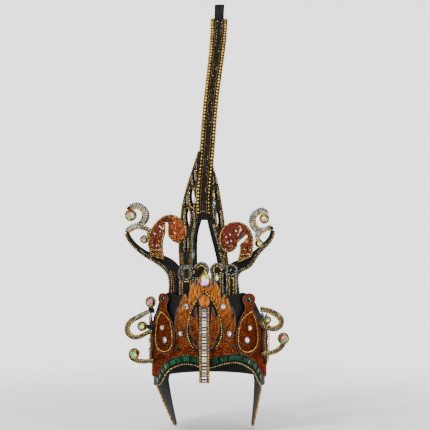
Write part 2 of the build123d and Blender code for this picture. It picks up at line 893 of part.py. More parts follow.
def regular(count, half_width, half_height):
    """Corners of a regular polygon stretched to an oval."""
    turns = [2 * math.pi * (i + 0.5) / count for i in range(count)]
    return [(half_width * math.cos(turn), half_height * math.sin(turn)) for turn in turns]


def pear(width, height):
    """Corners of a drop with its point up and its foot at zero."""
    corners = []
    belly = width / 2
    for i in range(9):
        turn = math.radians(200 + i * 17.5)
        corners.append((belly * math.cos(turn), belly + belly * math.sin(turn)))
    corners += [(belly * 0.78, height * 0.50), (belly * 0.38, height * 0.80), (0.0, height)]
    corners += [(-belly * 0.38, height * 0.80), (-belly * 0.78, height * 0.50)]
    return corners


def on_wall(shape, x, z, offset, roll=0.0):
    """A stone set on the front of a layer, facing outwards, turned by a roll about its normal."""
    point = wall_point(x, z, offset)
    normal = wall_normal(point, offset)
    across = Vector(-normal.Y, normal.X, 0)
    plane = Plane(origin=point, x_dir=across, z_dir=normal)
    return plane.location * Rot(0, 0, roll) * shape


def on_plate(shape, x, z, y):
    """A stone set on the front of an upright plate."""
    return Pos(x, y, z) * Rot(90, 0, 0) * shape


def stone_sag(half_width):
    """How far a flat stone stands off a curved wall so that its edges clear it."""
    return SEAT_GAP + half_width**2 / (2 * HEAD_HALF_WIDTH) * 0.05


def ball_stone(radius):
    """A large round stone with a high crown of ten sides."""
    return cut_stone(regular(10, radius, radius), radius * BALL_DEPTH_SHARE)


def emerald_row(side):
    """Square-cut stones along one half of the brow, spaced by their pitch along the wall."""
    outer = LAYERS["backing"][1]
    middle_lift = 2 * STRING_RADIUS + (STONE_BAND - 2 * STRING_RADIUS) / 2 + SEAT_GAP
    line = Spline(*brow_edge(middle_lift))
    reach = wall_axes(outer)[0] - SEAT_GAP
    samples = [line @ (i / 800) for i in range(801)]
    places = [wall_point(max(-reach, min(p.X, reach)), p.Y, outer) for p in samples if side * p.X >= 0]
    if side < 0:
        places.reverse()
    lengths = [0.0]
    for before, after in zip(places, places[1:]):
        lengths.append(lengths[-1] + (after - before).length)
    blank = cut_stone(regular_box(EMERALD_WIDTH, EMERALD_HEIGHT), EMERALD_DEPTH)
    stones, wanted = [], EMERALD_START
    while wanted < lengths[-1] - EMERALD_END:
        index = min(range(1, len(lengths) - 1), key=lambda i: abs(lengths[i] - wanted))
        here, step = places[index], (places[index + 1] - places[index - 1]) * side
        roll = math.degrees(math.atan2(step.Z, math.hypot(step.X, step.Y)))
        stones.append(on_wall(blank, here.X, here.Z, outer + stone_sag(EMERALD_WIDTH / 2), roll))
        wanted += EMERALD_PITCH
    return Compound(children=stones)


def regular_box(width, height):
    """Corners of an octagon close to a rectangle, as a step cut has."""
    w, h, cut = width / 2, height / 2, min(width, height) * 0.08
    return [
        (w, -h + cut),
        (w, h - cut),
        (w - cut, h),
        (-w + cut, h),
        (-w, h - cut),
        (-w, -h + cut),
        (-w + cut, -h),
        (w - cut, -h),
    ]


def baguettes():
    """The column of baguettes down the strip."""
    offset = LAYERS["inner"][1] + stone_sag(BAGUETTE_WIDTH / 2)
    count = int((STRIP_TOP - STRIP_FOOT - BAGUETTE_GAP) / BAGUETTE_PITCH)
    blank = cut_stone(regular_box(BAGUETTE_WIDTH, BAGUETTE_PITCH - BAGUETTE_GAP), BAGUETTE_DEPTH)
    middle = (STRIP_TOP + STRIP_FOOT) / 2
    heights = [middle + (i - (count - 1) / 2) * BAGUETTE_PITCH for i in range(count)]
    return Compound(children=[on_wall(blank, 0, z, offset) for z in heights])


def crystal():
    """The large drop on the topmost leaf."""
    stone = cut_stone(pear(CRYSTAL_WIDTH, CRYSTAL_HEIGHT), CRYSTAL_DEPTH)
    return on_wall(stone, 0, CRYSTAL_Z, LAYERS["leaf"][1] + stone_sag(CRYSTAL_WIDTH / 2))


def round_stone(x, z, radius, layer):
    """A small round stone on a layer at the right."""
    blank = cut_stone(regular(8, radius, radius), ROUND_STONE_DEPTH)
    return on_wall(blank, x, z, LAYERS[layer][1] + stone_sag(radius))


def leaf_stones():
    """The two round stones beside the medallion on the right: one on the gem leaf and one on the face."""
    upper = round_stone(FAN_HALF_WIDTH * 0.66, FAN_HEIGHT * 0.39, 4.2, "overleaf")
    lower = round_stone(FAN_HALF_WIDTH * 0.865, FAN_HEIGHT * -0.06, 3.8, "leaf")
    return Compound(children=[upper, lower])


def lobe_stones():
    """The two round stones in the right lobe."""
    upper = round_stone(LOBE_CENTRE_X + 2.0, LOBE_FOOT + LOBE_HEIGHT * 0.53, 4.0, "leaf")
    lower = round_stone(LOBE_CENTRE_X - 2.0, LOBE_FOOT + LOBE_HEIGHT * 0.29, 4.7, "leaf")
    return Compound(children=[upper, lower])


def side_stones():
    """Oval stones down the right side leaf."""
    outer = LAYERS["leaf"][1] + stone_sag(SIDE_STONE_WIDTH / 2)
    half_width, half_depth = wall_axes(outer)
    blank = cut_stone(regular(8, SIDE_STONE_WIDTH / 2, SIDE_STONE_HEIGHT / 2), ROUND_STONE_DEPTH)
    x = half_width * math.sqrt(1 - (SIDE_LEAF_Y / half_depth) ** 2)
    middle = (SIDE_LEAF_TOP + SIDE_LEAF_FOOT) / 2 - 3.0
    heights = [middle + step * SIDE_STONE_PITCH for step in (-1, 0, 1)]
    return Compound(children=[on_wall(blank, x, z, outer) for z in heights])


# Bead strings


def string_path(points):
    """Straight runs joined by tangent arcs, as large as each pair of runs allows."""
    points = [Vector(*point) for point in points]
    edges, start = [], points[0]
    for before, corner, after in zip(points, points[1:], points[2:]):
        into, out = (corner - before), (after - corner)
        reach = 0.45 * min(into.length, out.length)
        into, out = into.normalized(), out.normalized()
        first, last = corner - into * reach, corner + out * reach
        middle = (first + last) * 0.5
        half_turn = math.radians(into.get_angle(out)) / 2
        radius = reach / math.tan(half_turn)
        bulge = radius * (1 / math.cos(half_turn) - 1)
        edges.append(Line(start, first))
        edges.append(ThreePointArc(first, corner + (middle - corner).normalized() * bulge, last))
        start = last
    edges.append(Line(start, points[-1]))
    return Wire(edges)


def string(points, radius):
    """A bead string's tube along a route."""
    path = string_path(points)
    return sweep(Plane(origin=path @ 0, z_dir=path % 0) * Circle(radius), path=path)


def wall_route(points, layer):
    """A front-view line lifted onto a layer, high enough for a bead string to lie on it."""
    offset = LAYERS[layer][1] + SEAT_GAP + STRING_RADIUS
    return [wall_point(x, z, offset) for x, z in points]


def evenly(points, count):
    """Places spaced evenly along a smooth line through points."""
    line = Spline(*points)
    return [(place.X, place.Y) for place in (line @ (i / count) for i in range(count + 1))]


def brow_string():
    """The bead string along the brow edge."""
    points = evenly(brow_edge(STRING_RADIUS), 36)
    return string(wall_route(points, "backing"), STRING_RADIUS)


def front_strings():
    """The bead strings round the medallion and down both sides of the strip."""
    half = medallion_edge(STRING_RADIUS)
    foot_x = STRIP_WIDTH / 2 + SEAT_GAP + STRING_RADIUS * 2
    right = [point for point in half[1:] if point[0] > foot_x or point[1] > 0]
    right = evenly([(STRING_RADIUS + 0.4, half[0][1] - 2.0)] + right, 14)
    sides = []
    for side in (-1, 1):
        edge = [(side * x, z) for x, z in right]
        sides.append(string(wall_route(edge, "medallion"), STRING_RADIUS))
        x = side * (STRIP_WIDTH / 2 - STRING_RADIUS - 0.3)
        offset = LAYERS["inner"][1] + SEAT_GAP + STRING_RADIUS
        top, foot = wall_point(x, STRIP_TOP - 0.5, offset), wall_point(x, STRIP_FOOT + 0.5, offset)
        section = Plane(top, z_dir=foot - top) * Circle(STRING_RADIUS)
        sides.append(extrude(section, (foot - top).length))
    return Compound(children=sides)


def side_strings():
    """The bead strings round the right lobe and round the right side leaf."""
    lobe_line = evenly(lobe_body(LOBE_MARGIN), 22)
    lobe_string = string(wall_route(lobe_line, "leaf"), STRING_RADIUS)
    offset = LAYERS["leaf"][1] + SEAT_GAP + STRING_RADIUS
    half_width, half_depth = wall_axes(offset)
    _, (front, back) = side_leaf_outline(STRING_RADIUS + 0.6)
    around = evenly(front, 11)[:-1] + evenly(list(reversed(back)), 11)
    around = around[:-1]
    route = [(half_width * math.sqrt(1 - (y / half_depth) ** 2), y, z) for y, z in around]
    return Compound(children=[lobe_string, string(route, STRING_RADIUS)])


# Spire and legs


def spire_front(row):
    """The middle of the spire's front edge at a station."""
    return Vector(
        SPIRE_FOOT_X + row.drift * SPIRE_DRIFT,
        SPIRE_FRONT_Y + row.sweep * SPIRE_SWEEP,
        SPIRE_FOOT_Z + row.up * SPIRE_HEIGHT,
    )


def spire_edge(share):
    """Places in Y and Z along the spire, from its front edge at share 0 to its back edge at share 1."""
    places = []
    for row in SPIRE:
        place = spire_front(row)
        places.append((place.Y + share * row.depth * SPIRE_DEPTH, place.Z))
    return places


def spire_slab(low, high, front=0.0):
    """A slab of the spire between two sideways limits, each a share of the core and a length beyond it."""
    sections = []
    for row in SPIRE:
        core = CORE_WIDTH / 2 * row.width
        near, far = low[0] * core + low[1], high[0] * core + high[1]
        depth = row.depth * SPIRE_DEPTH - front
        section = Pos((near + far) / 2, front + depth / 2) * Rectangle(far - near, depth)
        sections.append(Pos(spire_front(row)) * Rot(0, 0, SPIRE_YAW) * section)
    return loft(sections)


def spire_openings():
    """The openings that pass sideways through the spire."""
    front, back = Spline(*spire_edge(0.0)), Spline(*spire_edge(1.0))
    cuts = []
    for window in SPIRE_WINDOWS:
        place = (front @ window.up) * (1 - window.across) + (back @ window.up) * window.across
        oval = Pos(place.X, place.Y) * Rot(0, 0, window.slant) * Ellipse(window.width / 2, window.length / 2)
        cuts.append(extrude(Plane.YZ * oval, RAY, both=True))
    return cuts


def spire_core():
    """The black foam between the blades, whose front edge shows as a dark band."""
    return spire_slab((-1, 0.0), (1, 0.0)) - spire_openings()


def blade_top():
    """The height where the blades stop and the core goes on bare."""
    return SPIRE_FOOT_Z + BLADE_SHARE * SPIRE_HEIGHT


def blade(side):
    """A cheek of the spire, which stops short of the top."""
    limits = [(side, side * SEAT_GAP), (side, side * (SEAT_GAP + BLADE_WALL))]
    low, high = limits if side > 0 else reversed(limits)
    bare_top = Pos(0, 0, blade_top() + RAY / 2) * Box(2 * RAY, 2 * RAY, RAY)
    return spire_slab(low, high) - bare_top - spire_openings()


def blade_front(side):
    """Places up the middle of a blade's front edge, taken from a thin slab at the blade's middle."""
    middle = SEAT_GAP + BLADE_WALL / 2
    slab = spire_slab((side, side * middle - SEAT_GAP), (side, side * middle + SEAT_GAP))
    long_edges = [edge for edge in slab.edges() if edge.length > SPIRE_HEIGHT]
    front = min(long_edges, key=lambda edge: edge.center().Y)
    places = [front @ (i / STRING_STEPS) for i in range(STRING_STEPS + 1)]
    return sorted(places, key=lambda place: place.Z)


def spire_string(side):
    """The bead string down the front edge of a blade."""
    places, route = blade_front(side), []
    lift = SEAT_GAP + SPIRE_STRING_RADIUS + STRING_SLACK
    turn = math.radians(SPIRE_YAW)
    low, high = SPIRE_FOOT_Z + SPIRE_STRING_RADIUS / 2, blade_top() - SPIRE_STRING_RADIUS
    for before, place, after in zip(places, places[1:], places[2:]):
        slope = (after - before).normalized()
        spot = place + Vector(math.sin(turn), -slope.Z, slope.Y) * lift
        if low < spot.Z < high:
            route.append(spot)
    return string(route, SPIRE_STRING_RADIUS)


def leg(rows, windows, yaw, side):
    """An openwork leg: a flat panel, turned back by its yaw, trimmed to the spire and to the dome."""
    inner = [(row.inner * LEG_WIDTH, row.up * LEG_HEIGHT) for row in rows]
    outer = [(row.outer * LEG_WIDTH, row.up * LEG_HEIGHT) for row in rows]
    face = outline(inner, [inner[-1], outer[-1]], list(reversed(outer)), [outer[0], inner[0]])
    for window in windows:
        hole = Ellipse(window.width * LEG_WIDTH / 2, window.length * LEG_HEIGHT / 2)
        face -= Pos(window.across * LEG_WIDTH, window.up * LEG_HEIGHT) * Rot(0, 0, window.slant) * hole
    start = CORE_WIDTH / 2 + BLADE_WALL + 2 * SEAT_GAP
    turn = math.radians(yaw)
    plane = Plane(
        origin=(SPIRE_FOOT_X + side * start, SPIRE_FRONT_Y + LEG_WALL / 2, 0),
        x_dir=(side * math.cos(turn), math.sin(turn), 0),
        z_dir=(math.sin(turn), -side * math.cos(turn), 0),
    )
    panel = extrude(plane * face, LEG_WALL / 2, both=True)
    room = BLADE_WALL + 2 * SEAT_GAP
    return panel - spire_slab((-1, -room), (1, room), front=-LEG_WIDTH) - dome_block(SEAT_GAP)


# Plates behind the diadem


class Loop(NamedTuple):
    """A round or arched top of a loop plate: middle, outer radius and hole radius."""

    x: float
    z: float
    radius: float
    hole: float


LOOPS_LEFT = [Loop(-31.0, 88.0, 14.5, 6.0), Loop(-7.5, 94.0, 12.8, 0.0)]
LOOPS_RIGHT = [Loop(18.3, 93.5, 12.2, 0.0), Loop(40.5, 93.0, 10.8, 4.6)]


def loop_plate(loops):
    """A plate whose top is a row of loops, standing on the dome behind the diadem."""
    shape = Sketch()
    for item in loops:
        shape += Pos(item.x, item.z) * Circle(item.radius)
        leg_height = item.z - LOOP_PLATE_FOOT
        shape += Pos(item.x, LOOP_PLATE_FOOT + leg_height / 2) * Rectangle(item.radius * 1.7, leg_height)
    for item in loops:
        if item.hole:
            shape -= Pos(item.x, item.z) * Ellipse(item.hole, item.hole * 1.25)
    return upright(shape, LOOP_PLATE_Y, LOOP_PLATE_WALL) - dome_block(SEAT_GAP)


def arm_face(item, clearance=0.0):
    """An arm's front outline, grown all round by a clearance."""
    points = scaled(item.arm, item.reach, item.rise, side=item.side)
    points.insert(0, (points[0][0], ARM_FOOT))
    bands = [ARM_BAND * row.band + 2 * clearance for row in [item.arm[0]] + item.arm]
    (x0, z0), (x1, z1) = points[-2:]
    run = math.hypot(x1 - x0, z1 - z0)
    points[-1] = (x1 + (x1 - x0) / run * clearance, z1 + (z1 - z0) / run * clearance)
    return ribbon(points, bands)


def arm(item):
    """A black arm that stands on the dome behind the diadem."""
    return upright(arm_face(item), ARM_Y, ARM_WALL) - dome_block(SEAT_GAP)


def arm_block(item):
    """The space an arm takes up with its clearance, used to trim what joins it."""
    return upright(arm_face(item, SEAT_GAP), ARM_Y, 2 * ARM_WALL)


class Paisley(NamedTuple):
    """A paisley scroll's sizes, the outer foot of its body, and the tables of its body, slit and stem."""

    width: float
    height: float
    x: float
    z: float
    body: list
    slit: list
    stem: list


class Arm(NamedTuple):
    """An arm with the curl at its tip and its paisley: sizes, tables, stone places and radius."""

    side: int
    reach: float
    rise: float
    arm: list
    width: float
    height: float
    rows: list
    fork: list
    stone: Row
    fork_stone: Row
    radius: float
    paisley: Paisley


ARMS = {
    "left": Arm(
        side=-1,
        reach=ARM_REACH_LEFT,
        rise=ARM_RISE_LEFT,
        arm=ARM_LEFT,
        width=CURL_WIDTH_LEFT,
        height=CURL_HEIGHT_LEFT,
        rows=CURL_LEFT,
        fork=FORK_LEFT,
        stone=CURL_STONE_LEFT,
        fork_stone=FORK_STONE_LEFT,
        radius=CURL_STONE_RADIUS_LEFT,
        paisley=Paisley(
            width=PAISLEY_WIDTH_LEFT,
            height=PAISLEY_HEIGHT_LEFT,
            x=PAISLEY_X_LEFT,
            z=PAISLEY_Z_LEFT,
            body=PAISLEY_LEFT,
            slit=PAISLEY_SLIT_LEFT,
            stem=PAISLEY_STEM_LEFT,
        ),
    ),
    "right": Arm(
        side=1,
        reach=ARM_REACH_RIGHT,
        rise=ARM_RISE_RIGHT,
        arm=ARM_RIGHT,
        width=CURL_WIDTH_RIGHT,
        height=CURL_HEIGHT_RIGHT,
        rows=CURL_RIGHT,
        fork=FORK_RIGHT,
        stone=CURL_STONE_RIGHT,
        fork_stone=FORK_STONE_RIGHT,
        radius=CURL_STONE_RADIUS_RIGHT,
        paisley=Paisley(
            width=PAISLEY_WIDTH_RIGHT,
            height=PAISLEY_HEIGHT_RIGHT,
            x=PAISLEY_X_RIGHT,
            z=PAISLEY_Z_RIGHT,
            body=PAISLEY_RIGHT,
            slit=PAISLEY_SLIT_RIGHT,
            stem=PAISLEY_STEM_RIGHT,
        ),
    ),
}


def curl_place(item, row):
    """A place on a curl, which winds back towards the middle from the arm's tip."""
    return item.side * (item.reach - row.across * item.width), item.rise + row.up * item.height


def curl(item):
    """A curl with its fork and the cups of its two stones, trimmed to clear the arm."""
    points = [curl_place(item, row) for row in item.rows]
    fork = [curl_place(item, row) for row in item.fork]
    shape = ribbon(points, [row.band * CURL_BAND for row in item.rows])
    shape += ribbon(fork, [row.band * CURL_BAND for row in item.fork])
    shape += Pos(*curl_place(item, item.stone)) * Circle(item.radius + CUP_MARGIN)
    shape += Pos(*curl_place(item, item.fork_stone)) * Circle(FORK_STONE_RADIUS + CUP_MARGIN)
    return upright(shape, ARM_Y, ARM_WALL) - arm_block(item)


def plate_stones(places, y):
    """Ball stones on the front of a plate, from places with a radius each."""
    return Compound(children=[on_plate(ball_stone(radius), x, z, y - SEAT_GAP) for x, z, radius in places])


def curl_stones(item):
    """The stones in a curl's two cups."""
    places = [
        curl_place(item, item.stone) + (item.radius,),
        curl_place(item, item.fork_stone) + (FORK_STONE_RADIUS,),
    ]
    return plate_stones(places, ARM_Y - ARM_WALL / 2)


def paisley(item):
    """A paisley scroll whose foot is fixed to the front of the arm along its upper edge."""
    own = item.paisley
    rim, cut, neck = [
        scaled(rows, -own.width, own.height, x=own.x, z=own.z, side=item.side)
        for rows in (own.body, own.slit, own.stem)
    ]
    runs = [rim] + [list(pair) for pair in zip(cut, cut[1:])] + [neck]
    foot = (rim[0][0], rim[0][1] - own.height * 0.07)
    face = outline(*runs, [neck[-1], foot], [foot, rim[0]])
    return upright(face, ARM_Y - ARM_WALL / 2 - SEAT_GAP - PAISLEY_WALL / 2, PAISLEY_WALL)


# Side scrolls


def diadem_block():
    """The diadem and all inside it as a solid block with a seat gap, used to trim what roots on its side."""
    return Pos(0, 0, -RAY) * extrude(Ellipse(*wall_axes(LAYERS["face"][1] + SEAT_GAP)), 2 * RAY)


def trimmed_scroll(shape):
    """A scroll plate cut to sit against the diadem's side."""
    return upright(shape, SCROLL_Y, SCROLL_WALL) - diadem_block()


def cup(place, radius):
    """The round seat of a stone."""
    return Pos(*place) * Circle(radius + CUP_MARGIN)


class Scroll(NamedTuple):
    """A scroll rooted on the diadem's side: its side, reach, height, root level, table and stone."""

    side: int
    reach: float
    height: float
    z: float
    rows: list
    stone: Row
    radius: float


def scroll_root():
    """How far out the diadem's side is at the scrolls' depth."""
    half_width, half_depth = wall_axes(LAYERS["face"][1])
    return half_width * math.sqrt(1 - (SCROLL_Y / half_depth) ** 2)


def scroll_place(item, row):
    """A place on a side scroll."""
    return item.side * (scroll_root() + row.across * item.reach), item.z + row.up * item.height


def scroll_band(item):
    """A side scroll's band with the cup of its stone."""
    points = [scroll_place(item, row) for row in item.rows]
    shape = ribbon(points, [row.band * SCROLL_BAND for row in item.rows])
    return shape + cup(scroll_place(item, item.stone), item.radius)


def side_loop(item, post=0.0):
    """A loop rooted at both ends, the arm that holds its stone, and a post on top where it has one."""
    x, z = scroll_place(item, item.stone)
    shape = scroll_band(item)
    shape += ribbon([(item.side * (scroll_root() - 4.0), z - 2.0), (x, z)], [item.radius, item.radius])
    stones = [(x, z, item.radius)]
    if post:
        post_x, post_z = item.side * (scroll_root() + POST_REACH), item.z + post
        shape += ribbon([(post_x, item.z - 2.0), (post_x, post_z)], [SCROLL_BAND, SCROLL_BAND])
        shape += cup((post_x, post_z), POST_STONE_RADIUS)
        stones.append((post_x, post_z, POST_STONE_RADIUS))
    return trimmed_scroll(shape), scroll_stones(stones)


def scroll_stones(places):
    """Stones on the front of a side scroll."""
    return plate_stones(places, SCROLL_Y - SCROLL_WALL / 2)


def side_hook(item):
    """A short hook low on the diadem's side with a stone in its end."""
    return trimmed_scroll(scroll_band(item)), scroll_stones([scroll_place(item, item.stone) + (item.radius,)])


SIDE_LOOP_LEFT = Scroll(
    side=-1,
    reach=LOOP_REACH_LEFT,
    height=LOOP_HEIGHT_LEFT,
    z=LOOP_TOP_LEFT,
    rows=LOOP_LEFT,
    stone=LOOP_STONE_LEFT,
    radius=LOOP_STONE_RADIUS_LEFT,
)
SIDE_LOOP_RIGHT = Scroll(
    side=1,
    reach=LOOP_REACH_RIGHT,
    height=LOOP_HEIGHT_RIGHT,
    z=LOOP_TOP_RIGHT,
    rows=LOOP_RIGHT,
    stone=LOOP_STONE_RIGHT,
    radius=LOOP_STONE_RADIUS_RIGHT,
)
SIDE_HOOK_LEFT = Scroll(
    side=-1,
    reach=HOOK_REACH_LEFT,
    height=HOOK_RISE_LEFT,
    z=HOOK_Z_LEFT,
    rows=HOOK_LEFT,
    stone=HOOK_STONE_LEFT,
    radius=HOOK_STONE_RADIUS_LEFT,
)
SIDE_HOOK_RIGHT = Scroll(
    side=1,
    reach=HOOK_REACH_RIGHT,
    height=HOOK_RISE_RIGHT,
    z=HOOK_Z_RIGHT,
    rows=HOOK_RIGHT,
    stone=HOOK_STONE_RIGHT,
    radius=HOOK_STONE_RADIUS_RIGHT,
)


def pieces():
    """Every sub-part under its node's name."""
    top, flame, gem, low = fan_leaves()
    backing = diadem_band(BACKING_TOP, BACKING_RISE, 0.0, BACKING_SIDE_TOP, "backing")
    face = diadem_band(FACE_TOP, FACE_RISE, STONE_BAND, FACE_SIDE_TOP, "face") - slots()
    parts = {
        "skull_cap": skull_cap(),
        "diadem_backing": diadem_layer(backing, "backing"),
        "diadem_face": diadem_layer(face, "face"),
        "leaf_top": wrapped(top, "leaf"),
        "medallion": medallion(),
        "strip": strip(),
        "bud": bud(),
        "baguettes": baguettes(),
        "crystal": crystal(),
        "brow_string": brow_string(),
        "front_strings": front_strings(),
        "spire_core": spire_core(),
        "emeralds_left": emerald_row(-1),
        "emeralds_right": emerald_row(1),
    }
    pairs = {
        "leaf_flame": wrapped(flame, "overleaf"),
        "leaf_gem": wrapped(gem, "overleaf"),
        "leaf_low": wrapped(low, "leaf"),
        "inner_leaves": wrapped(inner_leaves(), "inner"),
        "lobe": lobe(),
        "side_leaf": side_leaf(),
        "leaf_stones": leaf_stones(),
        "lobe_stones": lobe_stones(),
        "side_stones": side_stones(),
        "side_strings": side_strings(),
    }
    for name, shape in pairs.items():
        parts[f"{name}_right"] = shape
        parts[f"{name}_left"] = other_side(shape)
    for name, side in {"left": -1, "right": 1}.items():
        parts[f"blade_{name}"] = blade(side)
        parts[f"spire_string_{name}"] = spire_string(side)
    parts["leg_left"] = leg(LEG_LEFT, LEG_WINDOWS_LEFT, LEG_YAW_LEFT, -1)
    parts["leg_right"] = leg(LEG_RIGHT, LEG_WINDOWS_RIGHT, LEG_YAW_RIGHT, 1)
    parts["loop_plate_left"] = loop_plate(LOOPS_LEFT)
    parts["loop_plate_right"] = loop_plate(LOOPS_RIGHT)
    for name, item in ARMS.items():
        parts[f"arm_{name}"] = arm(item)
        parts[f"curl_{name}"] = curl(item)
        parts[f"curl_stones_{name}"] = curl_stones(item)
        parts[f"paisley_{name}"] = paisley(item)
    parts["side_loop_left"], parts["loop_stones_left"] = side_loop(SIDE_LOOP_LEFT, POST_RISE)
    parts["side_loop_right"], parts["loop_stones_right"] = side_loop(SIDE_LOOP_RIGHT)
    parts["side_hook_left"], parts["hook_stone_left"] = side_hook(SIDE_HOOK_LEFT)
    parts["side_hook_right"], parts["hook_stone_right"] = side_hook(SIDE_HOOK_RIGHT)
    return parts


os.makedirs("parts", exist_ok=True)
for node, shape in pieces().items():
    export_step(shape, f"parts/{node}.step")
    print(node, len(shape.solids()), round(sum(solid.volume for solid in shape.solids())))
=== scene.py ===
import math
from functools import cache
from typing import NamedTuple

import bmesh
import bpy
import numpy as np
from mathutils import Matrix, Vector
from mathutils.bvhtree import BVHTree
from mathutils.kdtree import KDTree

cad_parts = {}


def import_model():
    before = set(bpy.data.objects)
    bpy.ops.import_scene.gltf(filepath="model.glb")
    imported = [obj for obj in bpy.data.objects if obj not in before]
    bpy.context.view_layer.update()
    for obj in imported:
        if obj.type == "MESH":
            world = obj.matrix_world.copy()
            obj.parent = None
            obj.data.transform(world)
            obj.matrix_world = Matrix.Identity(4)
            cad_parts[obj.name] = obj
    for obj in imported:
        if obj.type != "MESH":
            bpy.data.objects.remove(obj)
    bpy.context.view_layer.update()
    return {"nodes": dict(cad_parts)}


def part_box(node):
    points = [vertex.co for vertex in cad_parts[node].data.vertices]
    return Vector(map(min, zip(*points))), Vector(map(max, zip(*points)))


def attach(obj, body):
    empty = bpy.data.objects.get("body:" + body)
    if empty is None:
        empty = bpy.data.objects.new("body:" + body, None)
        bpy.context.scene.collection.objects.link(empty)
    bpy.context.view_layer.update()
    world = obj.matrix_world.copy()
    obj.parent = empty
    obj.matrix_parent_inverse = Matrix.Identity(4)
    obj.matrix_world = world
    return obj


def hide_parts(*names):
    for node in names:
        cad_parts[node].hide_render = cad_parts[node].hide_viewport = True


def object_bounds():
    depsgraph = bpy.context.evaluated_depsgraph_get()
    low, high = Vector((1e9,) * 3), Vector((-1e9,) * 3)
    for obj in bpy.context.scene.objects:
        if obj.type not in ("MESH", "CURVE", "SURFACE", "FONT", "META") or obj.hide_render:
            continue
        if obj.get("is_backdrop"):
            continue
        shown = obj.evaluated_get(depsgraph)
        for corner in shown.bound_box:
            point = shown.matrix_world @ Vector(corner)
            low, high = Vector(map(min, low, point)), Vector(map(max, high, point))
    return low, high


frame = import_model()
NODES = frame["nodes"]
WALL_LOW, WALL_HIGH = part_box("diadem_backing")
WALL_HALF_WIDTH = WALL_HIGH.x
WALL_HALF_DEPTH = -WALL_LOW.y
SIDES = (("left", -1), ("right", 1))
FRONT = Vector((0.0, -1.0, 0.0))
UP = Vector((0.0, 0.0, 1.0))

# Camera: the photo's view, a little to the right of the object and level with its middle
AIM = Vector((0.0095, 0.0, 0.1815))
CAMERA_DISTANCE = 2.4
CAMERA_TURN = math.radians(3.5)
CAMERA_BACK = Vector((math.sin(CAMERA_TURN), -math.cos(CAMERA_TURN), 0.0))
CAMERA_ACROSS = Vector((math.cos(CAMERA_TURN), math.sin(CAMERA_TURN), 0.0))
LENS_MM = 121.8
SENSOR_MM = 36.0
PHOTO_SIZE = 430
PIXEL_SHARE = SENSOR_MM / LENS_MM / PHOTO_SIZE

# Floor and surround
FLOOR_DROP = 0.002
FLOOR_RADIUS = 1.3
FLOOR_SIDES = 96
FADE_START = 0.30
FADE_END = FLOOR_RADIUS * 0.98
WORLD_STRENGTH = 2.3


# Node trees

VECTORS = "VectorMath"


def shader(name):
    """A new material, its node tree and its Principled shader."""
    made = bpy.data.materials.new(name)
    made.use_nodes = True
    return made, made.node_tree, made.node_tree.nodes["Principled BSDF"]


def add(tree, kind, settings=None, **inputs):
    """A node with its settings and its inputs, each a value or another node's output."""
    node = tree.nodes.new(f"ShaderNode{kind}")
    for name, value in (settings or {}).items():
        setattr(node, name, value)
    for name, value in inputs.items():
        socket = node.inputs[int(name[1:])] if name[0] == "i" and name[1:].isdigit() else node.inputs[name]
        if isinstance(value, bpy.types.NodeSocket):
            tree.links.new(value, socket)
        else:
            socket.default_value = value
    return node


def place(tree, scale=(1.0, 1.0, 1.0)):
    """Object coordinates in metres, scaled."""
    coords = add(tree, "TexCoord")
    return add(tree, "Mapping", Vector=coords.outputs["Object"], Scale=scale).outputs["Vector"]


def noise(tree, scale, detail, stretch=(1.0, 1.0, 1.0)):
    """Noise over the part, from 0 to 1."""
    spots = place(tree, stretch)
    return add(tree, "TexNoise", Vector=spots, Scale=scale, Detail=detail).outputs["Fac"]


def flecks(tree, scale):
    """A number from 0 to 1 for each small cell of the surface."""
    cells = add(tree, "TexVoronoi", Vector=place(tree), Scale=scale)
    return add(tree, "SeparateColor", Color=cells.outputs["Color"]).outputs["Red"]


def height(tree, kind="Object"):
    """The height of a place on the part in metres, or of a direction in the surround."""
    coords = add(tree, "TexCoord").outputs[kind]
    return add(tree, "SeparateXYZ", Vector=coords).outputs["Z"]


def mapped(tree, value, low=0.0, high=1.0, least=0.0, most=1.0, kind="LINEAR"):
    """A value taken from one range to another, and kept inside it."""
    return add(tree, "MapRange", {"interpolation_type": kind},
               Value=value, i1=low, i2=high, i3=least, i4=most).outputs["Result"]


def worked(tree, operation, *values, kind="Math", output=0):
    """The result of a Math node, or of a Vector Math node."""
    inputs = {f"i{i}": value for i, value in enumerate(values)}
    return add(tree, kind, {"operation": operation}, **inputs).outputs[output]


def ramp(tree, fac, stops):
    """A colour ramp with its stops as pairs of place and colour."""
    node = add(tree, "ValToRGB", Fac=fac)
    band = node.color_ramp
    while len(band.elements) < len(stops):
        band.elements.new(1.0)
    for element, (position, color) in zip(band.elements, stops):
        element.position = position
        element.color = (*color, 1.0)
    return node.outputs["Color"]


def blend_colors(tree, fac, first, second, mode="MIX"):
    """Two colours mixed by a factor."""
    node = add(tree, "Mix", {"data_type": "RGBA", "blend_type": mode}, i0=fac)
    for socket, value in ((node.inputs[6], first), (node.inputs[7], second)):
        if isinstance(value, bpy.types.NodeSocket):
            tree.links.new(value, socket)
        else:
            socket.default_value = (*value, 1.0)
    return node.outputs[2]


def bump(tree, main, relief, strength, distance):
    """Relief from a height."""
    node = add(tree, "Bump", Height=relief, Strength=strength, Distance=distance)
    tree.links.new(node.outputs["Normal"], main.inputs["Normal"])


def paint(tree, main, color):
    """A node's output on the base colour."""
    tree.links.new(color, main.inputs["Base Color"])


def settle(main, values):
    """Fixed values on a shader's sockets."""
    for name, value in values.items():
        main.inputs[name].default_value = value


# Materials

COPPER_FROM, COPPER_TO = -0.055, 0.062
COPPER_STOPS = (0.0, 0.35, 0.65, 0.95)
FACET_SPIN = (2.3, 2.3, 2.3)
STONE_SPREAD = (22.0, 22.0, 22.0)


